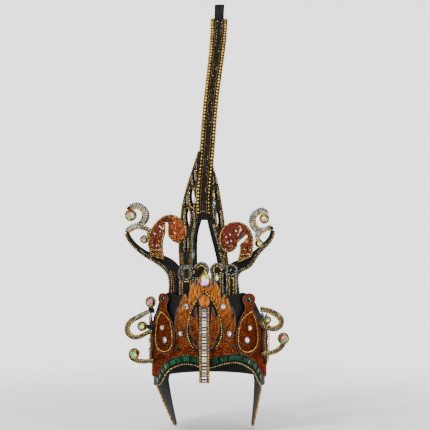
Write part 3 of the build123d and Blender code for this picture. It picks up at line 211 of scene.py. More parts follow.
def copper(name, glint_share, *tones):
    """Brushed copper foam with fine glitter and painted glints on it, its tones from low to high on the
    part, and dark cut edges.
    """
    made, tree, main = shader(name)
    streaks = noise(tree, 1.0, 4.0, (560, 560, 120))
    spark = flecks(tree, 1000.0)
    rise = mapped(tree, height(tree), COPPER_FROM, COPPER_TO)
    drift = worked(tree, "MULTIPLY_ADD", noise(tree, 110.0, 5.0), 0.9, -0.45)
    tone = ramp(tree, worked(tree, "ADD", rise, drift), list(zip(COPPER_STOPS, tones)))
    brushed = blend_colors(tree, 0.85, tone, ramp(tree, streaks, [
        (0.34, (0.10, 0.06, 0.04)),
        (0.50, (0.74, 0.70, 0.68)),
        (0.68, (1.60, 1.55, 1.40)),
    ]), "MULTIPLY")
    # Painted glints: the brightest glitter flecks are lightened towards a bright orange in the base colour.
    glint = mapped(tree, spark, 0.86, 1.0, 0.0, glint_share)
    skin = blend_colors(tree, glint, brushed, (0.85, 0.42, 0.12))
    squeeze = (1.0 / WALL_HALF_WIDTH**2, 1.0 / WALL_HALF_DEPTH**2, 0.0)
    coords = add(tree, "TexCoord").outputs["Object"]
    squeezed = worked(tree, "MULTIPLY", coords, squeeze, kind=VECTORS)
    outward = worked(tree, "NORMALIZE", squeezed, kind=VECTORS)
    facing = add(tree, "NewGeometry").outputs["True Normal"]
    turn = worked(tree, "DOT_PRODUCT", facing, outward, kind=VECTORS, output="Value")
    edge = mapped(tree, turn, 0.35, 0.6, 1.0, 0.0)
    paint(tree, main, blend_colors(tree, edge, skin, (0.035, 0.028, 0.024)))
    settle(main, {"Metallic": 0.95, "Specular Tint": (0.55, 0.24, 0.10, 1.0)})
    tree.links.new(mapped(tree, spark, least=0.36, most=0.68), main.inputs["Roughness"])
    bump(tree, main, worked(tree, "ADD", streaks, spark), 0.6, 0.0007)
    return made


def foam(name, color, ribs=0.0):
    """Black craft foam with a fine grain and rubbed grey patches, ribbed along its length where asked."""
    made, tree, main = shader(name)
    grain = noise(tree, 900.0, 3.0)
    patches = mapped(tree, noise(tree, 110.0, 4.0, (1, 1, 0.3)), 0.50, 0.78)
    rubbed = tuple(channel * 2.2 + 0.003 for channel in color)
    paint(tree, main, blend_colors(tree, patches, color, rubbed))
    settle(main, {"Roughness": 0.6, "Specular IOR Level": 0.10})
    if ribs:
        wave = add(tree, "TexWave", {"bands_direction": "X"}, Vector=place(tree),
                   Scale=ribs, Distortion=1.5).outputs["Fac"]
        bump(tree, main, worked(tree, "MULTIPLY_ADD", grain, 0.3, wave), 0.8, 0.0008)
    else:
        bump(tree, main, grain, 0.5, 0.0003)
    return made


def felt():
    """Black felted cloth with a soft sheen."""
    made, tree, main = shader("felt")
    weave = add(tree, "TexVoronoi", Vector=place(tree, (1, 1, 1.4)), Scale=850.0)
    fuzz = noise(tree, 240.0, 6.0)
    paint(tree, main, blend_colors(tree, fuzz, (0.0032, 0.0029, 0.0027), (0.0105, 0.0095, 0.0088)))
    settle(main, {"Roughness": 0.9, "Sheen Weight": 0.05, "Sheen Roughness": 0.5})
    bump(tree, main, worked(tree, "ADD", weave.outputs["Distance"], fuzz), 0.5, 0.0005)
    return made


def metal(name, dark, light, rough, scale=260.0, metallic=1.0):
    """A polished metal whose colour varies from bead to bead."""
    made, tree, main = shader(name)
    paint(tree, main, ramp(tree, noise(tree, scale, 2.0), [(0.38, dark), (0.60, light)]))
    settle(main, {"Metallic": metallic})
    shine = mapped(tree, noise(tree, 2200.0, 1.0), least=rough * 0.6, most=rough * 1.5)
    tree.links.new(shine, main.inputs["Roughness"])
    return made


def glitter(name, dark, light):
    """A glittered plastic surface: real glitter flecks, the brightest of them painted paler as painted
    glints.
    """
    made, tree, main = shader(name)
    spark = flecks(tree, 1300.0)
    # Painted glints: the brightest flecks are painted paler than the maroon.
    paint(tree, main, ramp(tree, spark, [(0.0, dark), (0.7, dark), (1.0, light)]))
    settle(main, {"Metallic": 0.4, "Roughness": 0.38})
    bump(tree, main, spark, 0.4, 0.0004)
    return made


def painted_facet_light(tree):
    """A number that differs from facet to facet by the way each faces, and a little between stones, which
    sets the painted reflections of the facets.
    """
    facing = add(tree, "NewGeometry").outputs["True Normal"]
    spun = worked(tree, "MULTIPLY", facing, FACET_SPIN, kind=VECTORS)
    both = worked(tree, "ADD", spun, place(tree, STONE_SPREAD), kind=VECTORS)
    return add(tree, "TexNoise", Vector=both, Scale=1.6, Detail=1.0).outputs["Fac"]


def glassy(main, metallic, rough, coat):
    """The gloss of foil-backed glass."""
    settle(main, {"Metallic": metallic, "Roughness": rough, "Coat Weight": coat, "Coat Roughness": 0.03})


def cut_glass(name, gloss, stops):
    """A foil-backed cut stone whose facets differ in its own tint and in painted reflections, darker and
    paler by the way each faces.
    """
    made, tree, main = shader(name)
    # Painted reflections: each facet is painted darker or paler by the way it faces.
    paint(tree, main, ramp(tree, painted_facet_light(tree), stops))
    glassy(main, *gloss)
    return made


def painted_bar_light(tree):
    """A number that changes only with height, so that it runs across a column as bars of painted
    reflection.
    """
    level = add(tree, "CombineXYZ", X=0.0, Y=0.0, Z=height(tree)).outputs[0]
    return add(tree, "TexNoise", Vector=level, Scale=330.0, Detail=1.0).outputs["Fac"]


def graded_stone(name, node, gloss, shading, share, shades, tints_and_reflections):
    """Cut stones whose tint and painted reflections change up their node, with painted darker and paler
    facets or bars.
    """
    made, tree, main = shader(name)
    low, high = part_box(node)
    tint_and_reflection = ramp(tree, mapped(tree, height(tree), low.z, high.z), tints_and_reflections)
    # Painted light: the tints up the node carry painted highlights and reflections, and the shades paint
    # facets or bars darker and paler.
    paint(tree, main, blend_colors(tree, share, tint_and_reflection, ramp(tree, shading(tree), shades), "MULTIPLY"))
    glassy(main, *gloss)
    return made


# Share of painted glint, then four tones from low to high
COPPERS = {
    "copper": (0.45, (0.070, 0.008, 0.002), (0.108, 0.016, 0.003),
               (0.190, 0.042, 0.005), (0.470, 0.152, 0.017)),
    "mid_copper": (0.40, (0.060, 0.007, 0.002), (0.105, 0.018, 0.003),
                   (0.170, 0.038, 0.005), (0.290, 0.082, 0.010)),
    "dark_copper": (0.30, (0.060, 0.007, 0.002), (0.080, 0.012, 0.003),
                    (0.105, 0.019, 0.004), (0.122, 0.024, 0.004)),
}
# Dark tone, light tone and roughness, then the scale of the mottling and the metalness where they differ
METALS = {
    "gold": ((0.24, 0.120, 0.010), (0.80, 0.54, 0.075), 0.22),
    "old_gold": ((0.080, 0.045, 0.010), (0.60, 0.42, 0.11), 0.22, 420.0),
    "bronze": ((0.035, 0.018, 0.007), (0.24, 0.145, 0.045), 0.32, 420.0),
    "pale_gold": ((0.35, 0.26, 0.13), (0.80, 0.72, 0.46), 0.25),
    "silver": ((0.11, 0.11, 0.10), (0.56, 0.56, 0.51), 0.20),
    "pewter": ((0.045, 0.045, 0.040), (0.36, 0.36, 0.33), 0.30, 420.0),
    "rust": ((0.10, 0.014, 0.004), (0.36, 0.070, 0.014), 0.34, 300.0, 0.6),
    "orange": ((0.24, 0.045, 0.008), (0.62, 0.165, 0.028), 0.32, 300.0, 0.6),
    "red": ((0.060, 0.006, 0.003), (0.22, 0.028, 0.009), 0.30, 300.0, 0.5),
    "edge": ((0.010, 0.007, 0.006), (0.060, 0.050, 0.045), 0.50, 120.0, 0.2),
    # Dark copper of the groove lines on the leaves: painted shade of the engraved grooves
    "strand": ((0.040, 0.010, 0.003), (0.120, 0.034, 0.007), 0.50, 260.0, 0.8),
    "black_gloss": ((0.004, 0.004, 0.004), (0.015, 0.015, 0.015), 0.25, 260.0, 0.0),
}
# Metalness, roughness and coat, then the stops of the facets' colour: the stone's own tint with painted
# reflections that make facets darker and paler, and on the rainbow stones the coating's iridescence painted
# as fixed colours
GLASSES = {
    "green_stone": ((0.97, 0.20, 0.12), [
        (0.32, (0.001, 0.008, 0.003)),
        (0.48, (0.001, 0.026, 0.010)),
        (0.62, (0.001, 0.062, 0.024)),
        (0.76, (0.006, 0.150, 0.062)),
    ]),
    # Clear glass: its dark and white facets are painted reflections.
    "clear_stone": ((0.80, 0.06, 0.50), [
        (0.36, (0.03, 0.035, 0.04)),
        (0.46, (0.40, 0.42, 0.45)),
        (0.56, (0.95, 0.96, 0.98)),
    ]),
    "smoke_stone": ((0.80, 0.06, 0.50), [
        (0.32, (0.03, 0.045, 0.045)),
        (0.50, (0.16, 0.21, 0.22)),
        (0.64, (0.52, 0.60, 0.60)),
    ]),
    # The rainbow coating's iridescent reflections, painted as fixed colours by facet
    "rainbow_stone": ((0.95, 0.10, 0.25), [
        (0.34, (0.30, 0.03, 0.20)),
        (0.41, (0.86, 0.14, 0.20)),
        (0.46, (0.10, 0.10, 0.06)),
        (0.51, (0.03, 0.50, 0.12)),
        (0.57, (0.75, 0.74, 0.05)),
        (0.66, (0.62, 0.22, 0.75)),
    ]),
}
# Node, gloss as above, what the painted shades follow and how much they count, the painted shades, then the
# tints, which carry painted highlights and reflections as well as the stones' own colours
GRADED = {
    "drop_stone": ("crystal", (0.95, 0.10, 0.12), painted_facet_light, 1.0, [
        (0.35, (0.25, 0.22, 0.25)),
        (0.50, (0.80, 0.80, 0.80)),
        (0.65, (1.10, 1.10, 1.10)),
    ], [
        # Lilac below and yellow above, with a pale painted highlight between
        (0.08, (0.62, 0.30, 0.78)),
        (0.26, (0.80, 0.52, 0.95)),
        (0.40, (0.86, 0.72, 0.70)),
        (0.50, (0.80, 0.80, 0.16)),
        (0.78, (0.92, 0.90, 0.08)),
        (0.95, (0.45, 0.42, 0.20)),
    ]),
    "step_stones": ("baguettes", (0.97, 0.14, 0.08), painted_bar_light, 0.85, [
        (0.38, (0.03, 0.03, 0.025)),
        (0.46, (0.22, 0.22, 0.20)),
        (0.53, (0.85, 0.85, 0.85)),
        (0.62, (1.2, 1.2, 1.2)),
    ], [
        # Paler and darker bands of painted reflection up the column, some tinted blue or lilac
        (0.00, (0.92, 0.86, 0.82)),
        (0.10, (0.95, 0.93, 0.92)),
        (0.20, (0.42, 0.38, 0.33)),
        (0.30, (0.80, 0.82, 0.66)),
        (0.42, (0.72, 0.74, 0.62)),
        (0.60, (0.60, 0.62, 0.60)),
        (0.74, (0.85, 0.92, 0.92)),
        (0.84, (0.72, 0.80, 0.90)),
        (0.90, (0.85, 0.68, 0.90)),
        (0.97, (0.30, 0.32, 0.31)),
    ]),
}
MATERIALS = {
    "foam": foam("foam", (0.0048, 0.0040, 0.0034)),
    "ribbed": foam("ribbed", (0.0064, 0.0055, 0.0046), ribs=95.0),
    "rust_foam": foam("rust_foam", (0.030, 0.006, 0.002)),
    "felt": felt(),
    "maroon": glitter("maroon", (0.050, 0.006, 0.004), (0.40, 0.10, 0.06)),
}
for make, table in ((copper, COPPERS), (metal, METALS), (cut_glass, GLASSES), (graded_stone, GRADED)):
    for name, row in table.items():
        MATERIALS[name] = make(name, *row)


# Mesh helpers

def put(name, data):
    """An object in the scene."""
    made = bpy.data.objects.new(name, data)
    bpy.context.scene.collection.objects.link(made)
    return made


def piece(name, mesh, material, replaces=()):
    """A mesh as an object that rides on the body, with its material and the nodes that it replaces."""
    made = put(name, mesh)
    mesh.materials.append(MATERIALS[material])
    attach(made, "root")
    if replaces:
        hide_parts(*replaces)


def mesh_of(name, verts, faces, smooth=True):
    """A mesh from places and faces."""
    mesh = bpy.data.meshes.new(name)
    mesh.from_pydata([tuple(v) for v in verts], [], [tuple(f) for f in faces])
    mesh.polygons.foreach_set("use_smooth", [smooth] * len(mesh.polygons))
    mesh.update()
    return mesh


def circle(count):
    """Places of even steps round a circle of radius 1."""
    return [(math.cos(t), math.sin(t)) for t in (2 * math.pi * i / count for i in range(count))]


def form_of(make, **settings):
    """The vertices and triangles of one of Blender's own forms."""
    blank = bmesh.new()
    make(blank, **settings)
    bmesh.ops.triangulate(blank, faces=blank.faces)
    verts = np.array([v.co for v in blank.verts])
    faces = np.array([[v.index for v in f.verts] for f in blank.faces])
    blank.free()
    return verts, faces


def navette():
    """The vertices and triangles of a pointed oval stone with a table, 2 long, 1 wide and 0.5 high."""
    count = 12
    girdle = [(x, y * 0.5 * (1 - 0.35 * x * x), 0.0) for x, y in circle(count)]
    table = [(x * 0.55, y * 0.26, 0.42) for x, y in circle(count)]
    verts = girdle + table + [(0.0, 0.0, 0.42), (0.0, 0.0, -0.1)]
    top, bottom = 2 * count, 2 * count + 1
    faces = []
    for i in range(count):
        j = (i + 1) % count
        faces += [(i, j, count + j), (i, count + j, count + i), (count + i, count + j, top), (j, i, bottom)]
    return np.array(verts), np.array(faces)


BALL = form_of(bmesh.ops.create_icosphere, subdivisions=2, radius=1.0)
BAR = form_of(bmesh.ops.create_cube, size=2.0)
NAVETTE = navette()


def turned(spot, along, out, size):
    """A place at a spot whose X runs along, whose Z points out, and whose axes are scaled by a size."""
    along = along.normalized()
    out = (out - along * out.dot(along)).normalized()
    across = out.cross(along)
    matrix = Matrix.Identity(4)
    for i, column in enumerate((along * size[0], across * size[1], out * size[2])):
        matrix.col[i][:3] = column
    matrix.translation = spot
    return matrix


def grains(name, places, material, form=BALL, smooth=True, replaces=()):
    """A piece made of a form copied to each 4 by 4 place."""
    if not places:
        return
    verts, faces = form
    spots, rings = [], []
    for i, matrix in enumerate(places):
        turn = np.array(matrix.to_3x3())
        spots.append(verts @ turn.T + np.array(matrix.translation))
        rings.append(faces + i * len(verts))
    mesh = mesh_of(name, np.concatenate(spots), np.concatenate(rings), smooth)
    piece(name, mesh, material, replaces)


def grains_by_kind(stem, sets, form=BALL, smooth=True):
    """A piece of grains for each material of some sets of places."""
    for kind, places in sets.items():
        grains(f"{stem}_{kind}", places, kind, form, smooth)


def joined(name, parts, material, smooth=True):
    """A piece made of several pairs of vertices and faces."""
    verts, faces = [], []
    for spots, rings in parts:
        start = len(verts)
        verts += spots
        faces += [tuple(i + start for i in ring) for ring in rings]
    piece(name, mesh_of(name, verts, faces, smooth), material)


# Paths

def evenly(points, pitch, closed=False):
    """Places about a pitch apart along a run of points."""
    points = [Vector(p) for p in points]
    if closed:
        points.append(points[0])
    steps = [(b - a).length for a, b in zip(points, points[1:])]
    total = sum(steps)
    count = max(int(round(total / pitch)), 2)
    made, index, reached = [], 0, 0.0
    for i in range(count + (0 if closed else 1)):
        wanted = min(total * i / count, total - 1e-9)
        while reached + steps[index] < wanted:
            reached += steps[index]
            index += 1
        share = (wanted - reached) / steps[index] if steps[index] else 0.0
        made.append(points[index].lerp(points[index + 1], share))
    return made


def softened(points, rounds, closed=False):
    """Places moved towards their neighbours' middle, some rounds of it."""
    points = list(points)
    for _ in range(rounds):
        last = len(points) - 1
        fresh = []
        for i, here in enumerate(points):
            if closed or 0 < i < last:
                here = here * 0.5 + (points[i - 1] + points[(i + 1) % len(points)]) * 0.25
            fresh.append(here)
        points = fresh
    return points


def eased(loop, pitch, rounds):
    """Even places round a closed edge, softened."""
    return softened(evenly(loop, pitch, True), rounds, True)


def tangents(points, closed=False):
    """The direction of a run at each of its places."""
    count = len(points)
    made = []
    for i in range(count):
        before = points[i - 1] if closed or i else points[0]
        after = points[(i + 1) % count] if closed or i < count - 1 else points[-1]
        made.append((after - before).normalized())
    return made


def pairs(loop):
    """Each place of a closed run with the next one."""
    return zip(loop, loop[1:] + loop[:1])


def slanted(way, out, slant):
    """A direction turned to its side along a surface."""
    return (way + out.cross(way) * slant).normalized()


def drawn_in(points, out, inset, lift):
    """A closed edge moved inwards along its surface and lifted off it."""
    ways = tangents(points, True)
    return [spot + out(spot).cross(way) * inset + out(spot) * lift for spot, way in zip(points, ways)]


def wall_normal(spot):
    """The outward direction of the cap's wall beside a place."""
    return Vector((spot.x / WALL_HALF_WIDTH**2, spot.y / WALL_HALF_DEPTH**2, 0.0)).normalized()


def to_front(spot):
    """The front's direction, whatever the place."""
    return FRONT


# Edges, tubes and solids of the CAD nodes

FACES_OUT = 0.75
FACES_FRONT = -0.45
SAME_RING = 0.12
RING_CORNERS = 6


def nodes_of(*stems):
    """The nodes of some names, or the left and right ones."""
    names = [name for stem in stems for name in (stem, f"{stem}_left", f"{stem}_right")]
    return [name for name in names if name in NODES]


def weld_key(spot):
    """A place rounded to a hundredth of a millimetre."""
    return tuple(round(c * 1e5) for c in spot)


def faces_out(normal, centre):
    """Picks the outer faces of a piece wrapped on the cap."""
    return normal.dot(wall_normal(centre)) > FACES_OUT


def faces_front(normal, centre):
    """Picks the front faces of a plate."""
    return normal.y < FACES_FRONT


def rims(node, shows):
    """Closed edges of the faces of a node that a test of normal and centre picks, longest first."""
    mesh = NODES[node].data
    edges, spots = {}, {}
    for face in mesh.polygons:
        if shows(face.normal, face.center):
            corners = [mesh.vertices[index].co.copy() for index in face.vertices]
            keys = [weld_key(corner) for corner in corners]
            spots.update(zip(keys, corners))
            edges.update((edge, True) for edge in pairs(keys))
    onward = {}
    for a, b in edges:
        if a != b and (b, a) not in edges:
            onward.setdefault(a, []).append(b)
    loops = []
    while onward:
        start = next(iter(onward))
        here, loop = start, []
        while here in onward:
            loop.append(spots[here])
            ahead = onward[here].pop()
            if not onward[here]:
                del onward[here]
            here = ahead
            if here == start:
                break
        if len(loop) > 2:
            loops.append(loop)
    return sorted(loops, key=lambda loop: -sum((a - b).length for a, b in pairs(loop)))


def tree_of(points):
    """A tree of places, to find the nearest."""
    made = KDTree(len(points))
    for i, point in enumerate(points):
        made.insert(point, i)
    made.balance()
    return made


def middle_lines(node, radius):
    """The middle lines of a node's round tubes, from its vertices and their normals."""
    mesh = NODES[node].data
    normals = mesh.corner_normals
    centres = []
    for face in mesh.polygons:
        for corner in face.loop_indices:
            spot = mesh.vertices[mesh.loops[corner].vertex_index].co
            centres.append(spot - normals[corner].vector * radius)
    tree = tree_of(centres)
    group, middles, counts = [-1] * len(centres), [], []
    for i, centre in enumerate(centres):
        if group[i] >= 0:
            continue
        near = [index for _, index, _ in tree.find_range(centre, radius * SAME_RING) if group[index] < 0]
        for index in near:
            group[index] = len(middles)
        middles.append(sum((centres[index] for index in near), Vector()) / len(near))
        counts.append(len(near))
    links = {i: set() for i, count in enumerate(counts) if count >= RING_CORNERS}
    for face in mesh.polygons:
        ids = {group[corner] for corner in face.loop_indices if group[corner] in links}
        for a in ids:
            links[a] |= ids - {a}
    lines, left = [], set(links)
    while left:
        ends = [i for i in left if len(links[i] & left) == 1] or list(left)
        here = min(ends)
        line = []
        while here is not None:
            left.discard(here)
            line.append(middles[here])
            ahead = links[here] & left
            here = min(ahead, key=lambda i: (middles[i] - middles[here]).length) if ahead else None
        if len(line) > 1:
            lines.append(line)
    return lines


def solids(node):
    """The middle, the half size and the vertices of each separate solid of a node."""
    mesh = NODES[node].data
    home = {}
    for face in mesh.polygons:
        merged = {weld_key(mesh.vertices[i].co): mesh.vertices[i].co.copy() for i in face.vertices}
        for group in [home[key] for key in merged if key in home]:
            merged.update(group)
        home.update(dict.fromkeys(merged, merged))
    made = []
    for group in {id(group): group for group in home.values()}.values():
        points = list(group.values())
        low = Vector([min(p[i] for p in points) for i in range(3)])
        high = Vector([max(p[i] for p in points) for i in range(3)])
        made.append(((low + high) / 2, (high - low) / 2, points))
    return made


@cache
def surface(node):
    """A tree of a node's faces, to lay things on."""
    mesh = NODES[node].data
    corners = [tuple(v.co) for v in mesh.vertices]
    return BVHTree.FromPolygons(corners, [tuple(f.vertices) for f in mesh.polygons])


def struck(node, start, way):
    """The place and the forward normal where a ray meets a node, or nothing where it misses."""
    hit, normal, _, _ = surface(node).ray_cast(start, way)
    return (hit, normal if normal.y < 0 else -normal) if hit else None


def laid(node, spot):
    """The place and normal of a node's front beside a spot, or nothing where the node isn't."""
    return struck(node, Vector((spot.x, -1.0, spot.z)), Vector((0.0, 1.0, 0.0)))


def seen_at(node, u, v):
    """The place and normal of a node where the camera sees it at a pixel of the photo."""
    aside = (u - PHOTO_SIZE / 2) * PIXEL_SHARE
    above = (PHOTO_SIZE / 2 - v) * PIXEL_SHARE
    way = -CAMERA_BACK + CAMERA_ACROSS * aside + UP * above
    return struck(node, AIM + CAMERA_BACK * CAMERA_DISTANCE, way.normalized())


# Beads, ropes and bands

class Rows(NamedTuple):
    """Bead rows: the first row's inset, the pitch of the rows, a bead's half sizes and its slant."""
    first: float
    pitch: float
    size: tuple
    slant: float


SEEDS = Rows(0.0015, 0.0027, (0.0013, 0.0013, 0.0012), 0.0)
THIN_ROPES = Rows(0.0020, 0.0038, (0.0012, 0.0020, 0.0015), 0.45)
SPACING = 0.0027
LIFT = 0.0003
BAND_STEP = 0.0012
BAND_LEAST, BAND_MOST = 0.3, 1.35
BAND_BREAK = 4
SHORT_RUN = 6
# Shares of the spacing or the pitch: steps along an edge, slack beside it, least gap between beads
ROW_STEP = 0.24
ROW_SLACK = 0.12
LEAST_GAP = 0.9


def face_at(spot, along, out):
    """The direction that a bead or a tube faces at a place on a line."""
    return out(spot) if out else (FRONT if abs(along.y) < 0.9 else UP)


def bead_places(line, radius, pitch, closed=False, out=None):
    """A place for each bead along a line."""
    spots = evenly(line, pitch, closed)
    size = (radius, radius, radius)
    return [turned(spot, along, face_at(spot, along, out), size)
            for spot, along in zip(spots, tangents(spots, closed))]


def tube(line, radius, sides, closed=False, out=None, flat_share=1.0):
    """The vertices and faces of a tube along a line, flattened towards its surface where asked."""
    verts, faces = [], []
    count = len(line)
    for spot, along in zip(line, tangents(line, closed)):
        face = face_at(spot, along, out)
        face = (face - along * face.dot(along)).normalized()
        across = face.cross(along)
        verts += [spot + across * (x * radius) + face * (y * radius * flat_share) for x, y in circle(sides)]
    for start in range(count if closed else count - 1):
        near, far = start * sides, (start + 1) % count * sides
        for i in range(sides):
            j = (i + 1) % sides
            faces.append((near + i, near + j, far + j, far + i))
    if not closed:
        faces.append(tuple(reversed(range(sides))))
        faces.append(tuple(range((count - 1) * sides, count * sides)))
    return verts, faces


def ring(centre, radius, out, count):
    """A closed circle of places that faces out."""
    across = UP.cross(out).normalized()
    up = out.cross(across)
    return [centre + across * (x * radius) + up * (y * radius) for x, y in circle(count)]


def flat(points):
    """The X and Z of some points."""
    return np.array([(p.x, p.z) for p in points])


def edge_distance(spots, loops):
    """The distance from each flat spot to the nearest of some closed edges."""
    nearest = np.full(len(spots), np.inf)
    for starts in [flat(loop) for loop in loops]:
        for start, run in zip(starts, np.roll(starts, -1, axis=0) - starts):
            length = run @ run
            if length > 0:
                share = np.clip(((spots - start) @ run) / length, 0.0, 1.0)
                gap = np.linalg.norm(spots - (start + share[:, None] * run), axis=1)
                nearest = np.minimum(nearest, gap)
    return nearest


def bead_rows(loops, shape, rows):
    """Beads in rows that follow closed edges inwards: each is its flat place, its direction and its row."""
    loops = [[Vector((p.x, 0.0, p.z)) for p in loop] for loop in loops]
    made, taken = [], {}
    for row in range(rows):
        inset = shape.first + row * shape.pitch
        for loop in loops:
            edge = eased(loop, SPACING * ROW_STEP, 4)
            ways = tangents(edge, True)
            moved = [p + FRONT.cross(way) * inset for p, way in zip(edge, ways)]
            for spot, way, gap in zip(moved, ways, edge_distance(flat(moved), loops)):
                if gap < inset - shape.pitch * ROW_SLACK:
                    continue
                i, j = int(spot.x // SPACING), int(spot.z // SPACING)
                around = [(a, b) for a in (i - 1, i, i + 1) for b in (j - 1, j, j + 1)]
                near = [p for cell in around for p in taken.get(cell, ())]
                if any((spot - other).length < SPACING * LEAST_GAP for other in near):
                    continue
                taken.setdefault((i, j), []).append(spot)
                made.append((spot, way, row))
    return made


def plate_beads(node, rows, kinds, shape):
    """Rows of beads over a plate's front, as a piece for each kind of bead."""
    sets = {}
    for spot, way, row in bead_rows(rims(node, faces_front), shape, rows):
        found = laid(node, spot)
        if found:
            centre, normal = found
            placed = turned(centre + normal * LIFT, slanted(way, FRONT, shape.slant), normal, shape.size)
            sets.setdefault(kinds(spot, row), []).append(placed)
    grains_by_kind(node, sets)


def middle_runs(loop, width, level):
    """The middle line of a narrow band from its closed edge, as runs of places at a level."""
    edge = evenly(loop, BAND_STEP, True)
    ways = tangents(softened(edge, 3, True), True)
    starts = flat(edge)
    run = np.roll(starts, -1, axis=0) - starts
    runs, current, last = [], [], None
    for i, (spot, way) in enumerate(zip(edge, ways)):
        inward = FRONT.cross(way)
        ray = np.array((inward.x, inward.z))
        cross = run[:, 0] * ray[1] - run[:, 1] * ray[0]
        offset = starts - np.array((spot.x, spot.z))
        with np.errstate(divide="ignore", invalid="ignore"):
            reach = (run[:, 0] * offset[:, 1] - run[:, 1] * offset[:, 0]) / cross
            share = (ray[0] * offset[:, 1] - ray[1] * offset[:, 0]) / cross
        across = (share >= 0) & (share <= 1) & (reach > width * BAND_LEAST) & (np.abs(cross) > 1e-12)
        hits = np.where(across, reach, np.inf)
        j = int(np.argmin(hits))
        if hits[j] > width * BAND_MOST or j < i:
            continue
        here = spot + inward * (hits[j] / 2)
        here.y = level
        if last is not None and i - last > BAND_BREAK:
            runs.append(current)
            current = []
        current.append(here)
        last = i
    runs.append(current)
    return [softened(evenly(line, BAND_STEP), 6) for line in runs if len(line) > SHORT_RUN]


# Dress the nodes that keep their CAD shape

# A name stands for the left and right nodes too
NODE_MATERIALS = {
    "felt": ("skull_cap",),
    "foam": ("diadem_backing", "medallion", "blade", "leg", "loop_plate", "arm", "curl",
             "side_loop", "side_hook"),
    "ribbed": ("spire_core",),
    "copper": ("diadem_face", "leaf_top", "bud", "leaf_flame", "leaf_gem"),
    "mid_copper": ("leaf_low", "inner_leaves"),
    "dark_copper": ("lobe", "side_leaf"),
    "maroon": ("strip",),
    "rust_foam": ("paisley",),
    "step_stones": ("baguettes",),
    "drop_stone": ("crystal",),
    "green_stone": ("emeralds",),
    "clear_stone": ("leaf_stones", "lobe_stones", "side_stones"),
    "rainbow_stone": ("curl_stones", "loop_stones", "hook_stone"),
}
for material, stems in NODE_MATERIALS.items():
    for node in nodes_of(*stems):
        NODES[node].data.materials.clear()
        NODES[node].data.materials.append(MATERIALS[material])


# Bead strings

# The CAD string's radius, the beads' pitch, their share of that radius, and their metal
STRINGS = {
    "brow_string": (0.0016, 0.0039, 0.78, "old_gold"),
    "front_strings": (0.0016, 0.0039, 0.78, "gold"),
    "side_strings": (0.0016, 0.0039, 0.78, "gold"),
    "spire_string": (0.0023, 0.0055, 0.86, "gold"),
}
TUBE_END = 0.006
DROP_GAP = 0.020
THREAD_SHARE = 0.25


def bead_string(node, radius, pitch, share, material):
    """A CAD string as beads on a thread, without its end caps, and with its drops closed."""
    places, threads = [], []
    for line in middle_lines(node, radius):
        gap = (line[0] - line[-1]).length
        if gap < TUBE_END:
            continue
        if gap < DROP_GAP:
            line.append(line[0])
        line = softened(evenly(line, pitch / 2), 2)
        places += bead_places(line, radius * share, pitch)
        threads.append(tube(line, radius * THREAD_SHARE, 6))
    grains(f"{node}_beads", places, material, replaces=[node])
    joined(f"{node}_thread", threads, "edge")


# Trims of the cap, the brow and the stones

FLAP_TOP = -0.098
BARE_ABOVE = -0.080
FLAP_BEAD = (0.0017, 0.0017, 0.0017)
CORD_SIZE = (0.0021, 0.0014, 0.0012)
RIM_RADIUS = 0.0006
CUP_BEAD = 0.0009
CUP_GAP = 0.0007
CUP_SINK = 0.0010
SPIKE_HALF = 0.0008
SPIKE_FACES = ((0, 3, 4), (0, 4, 2), (3, 1, 4), (1, 2, 4), (0, 1, 3), (1, 0, 2))


def flap_beads():
    """Bead rows along the edges of the ear flaps, and a corded edge round the nape."""
    beads, cord = [], []
    edge = eased(rims("skull_cap", faces_out)[0], 0.0036, 1)
    for spot, way in zip(edge, tangents(edge, True)):
        out = wall_normal(spot)
        away = way.cross(out)
        if spot.z > BARE_ABOVE and spot.y < 0.0:
            continue
        if spot.z < FLAP_TOP:
            centre = spot - out * 0.0012 + away * 0.0002
            beads.append(turned(centre, way, out, FLAP_BEAD))
        else:
            cord.append(turned(spot - away * 0.0016 + out * 0.0004, way, out, CORD_SIZE))
    grains("flap_beads", beads, "gold")
    grains("nape_cord", cord, "black_gloss")


def emerald_spikes():
    """Thin copper points that stand between the square stones of the brow."""
    parts = []
    for node in nodes_of("emeralds"):
        stones = sorted((centre for centre, _, _ in solids(node)), key=lambda stone: stone.x)
        for a, b in zip(stones, stones[1:]):
            spot = (a + b) / 2
            out = wall_normal(spot)
            up = out.cross((b - a).normalized())
            side = up.cross(out) * SPIKE_HALF
            base = spot + up * 0.0062 + out * 0.0002
            tip = spot - up * 0.0040 + out * 0.0008
            verts = [base - side, base + side, tip, base + out * 0.0010, tip + out * 0.0003]
            parts.append((verts, SPIKE_FACES))
    joined("emerald_spikes", parts, "rust", smooth=False)


def stone_rims():
    """Pewter rims round the clear stones."""
    parts = []
    for node in nodes_of("leaf_stones", "lobe_stones", "side_stones"):
        for centre, half, points in solids(node):
            out = wall_normal(centre)
            base = min((p - centre).dot(out) for p in points)
            line = ring(centre + out * (base + RIM_RADIUS), half.z + RIM_RADIUS / 2, out, 28)
            parts.append(tube(line, RIM_RADIUS, 6, True, lambda p: out))
    joined("stone_rims", parts, "pewter")


def cup_rings():
    """Gold beads round the rainbow stones of the scrolls."""
    beads = []
    for node in nodes_of("curl_stones", "loop_stones", "hook_stone"):
        for centre, half, _ in solids(node):
            back = Vector((centre.x, centre.y + half.y - CUP_SINK, centre.z))
            line = ring(back, max(half.x, half.z) + CUP_GAP, FRONT, 40)
            beads += bead_places(line, CUP_BEAD, CUP_BEAD * 2, True, to_front)
    grains("cup_beads", beads, "old_gold")


# Scrolls

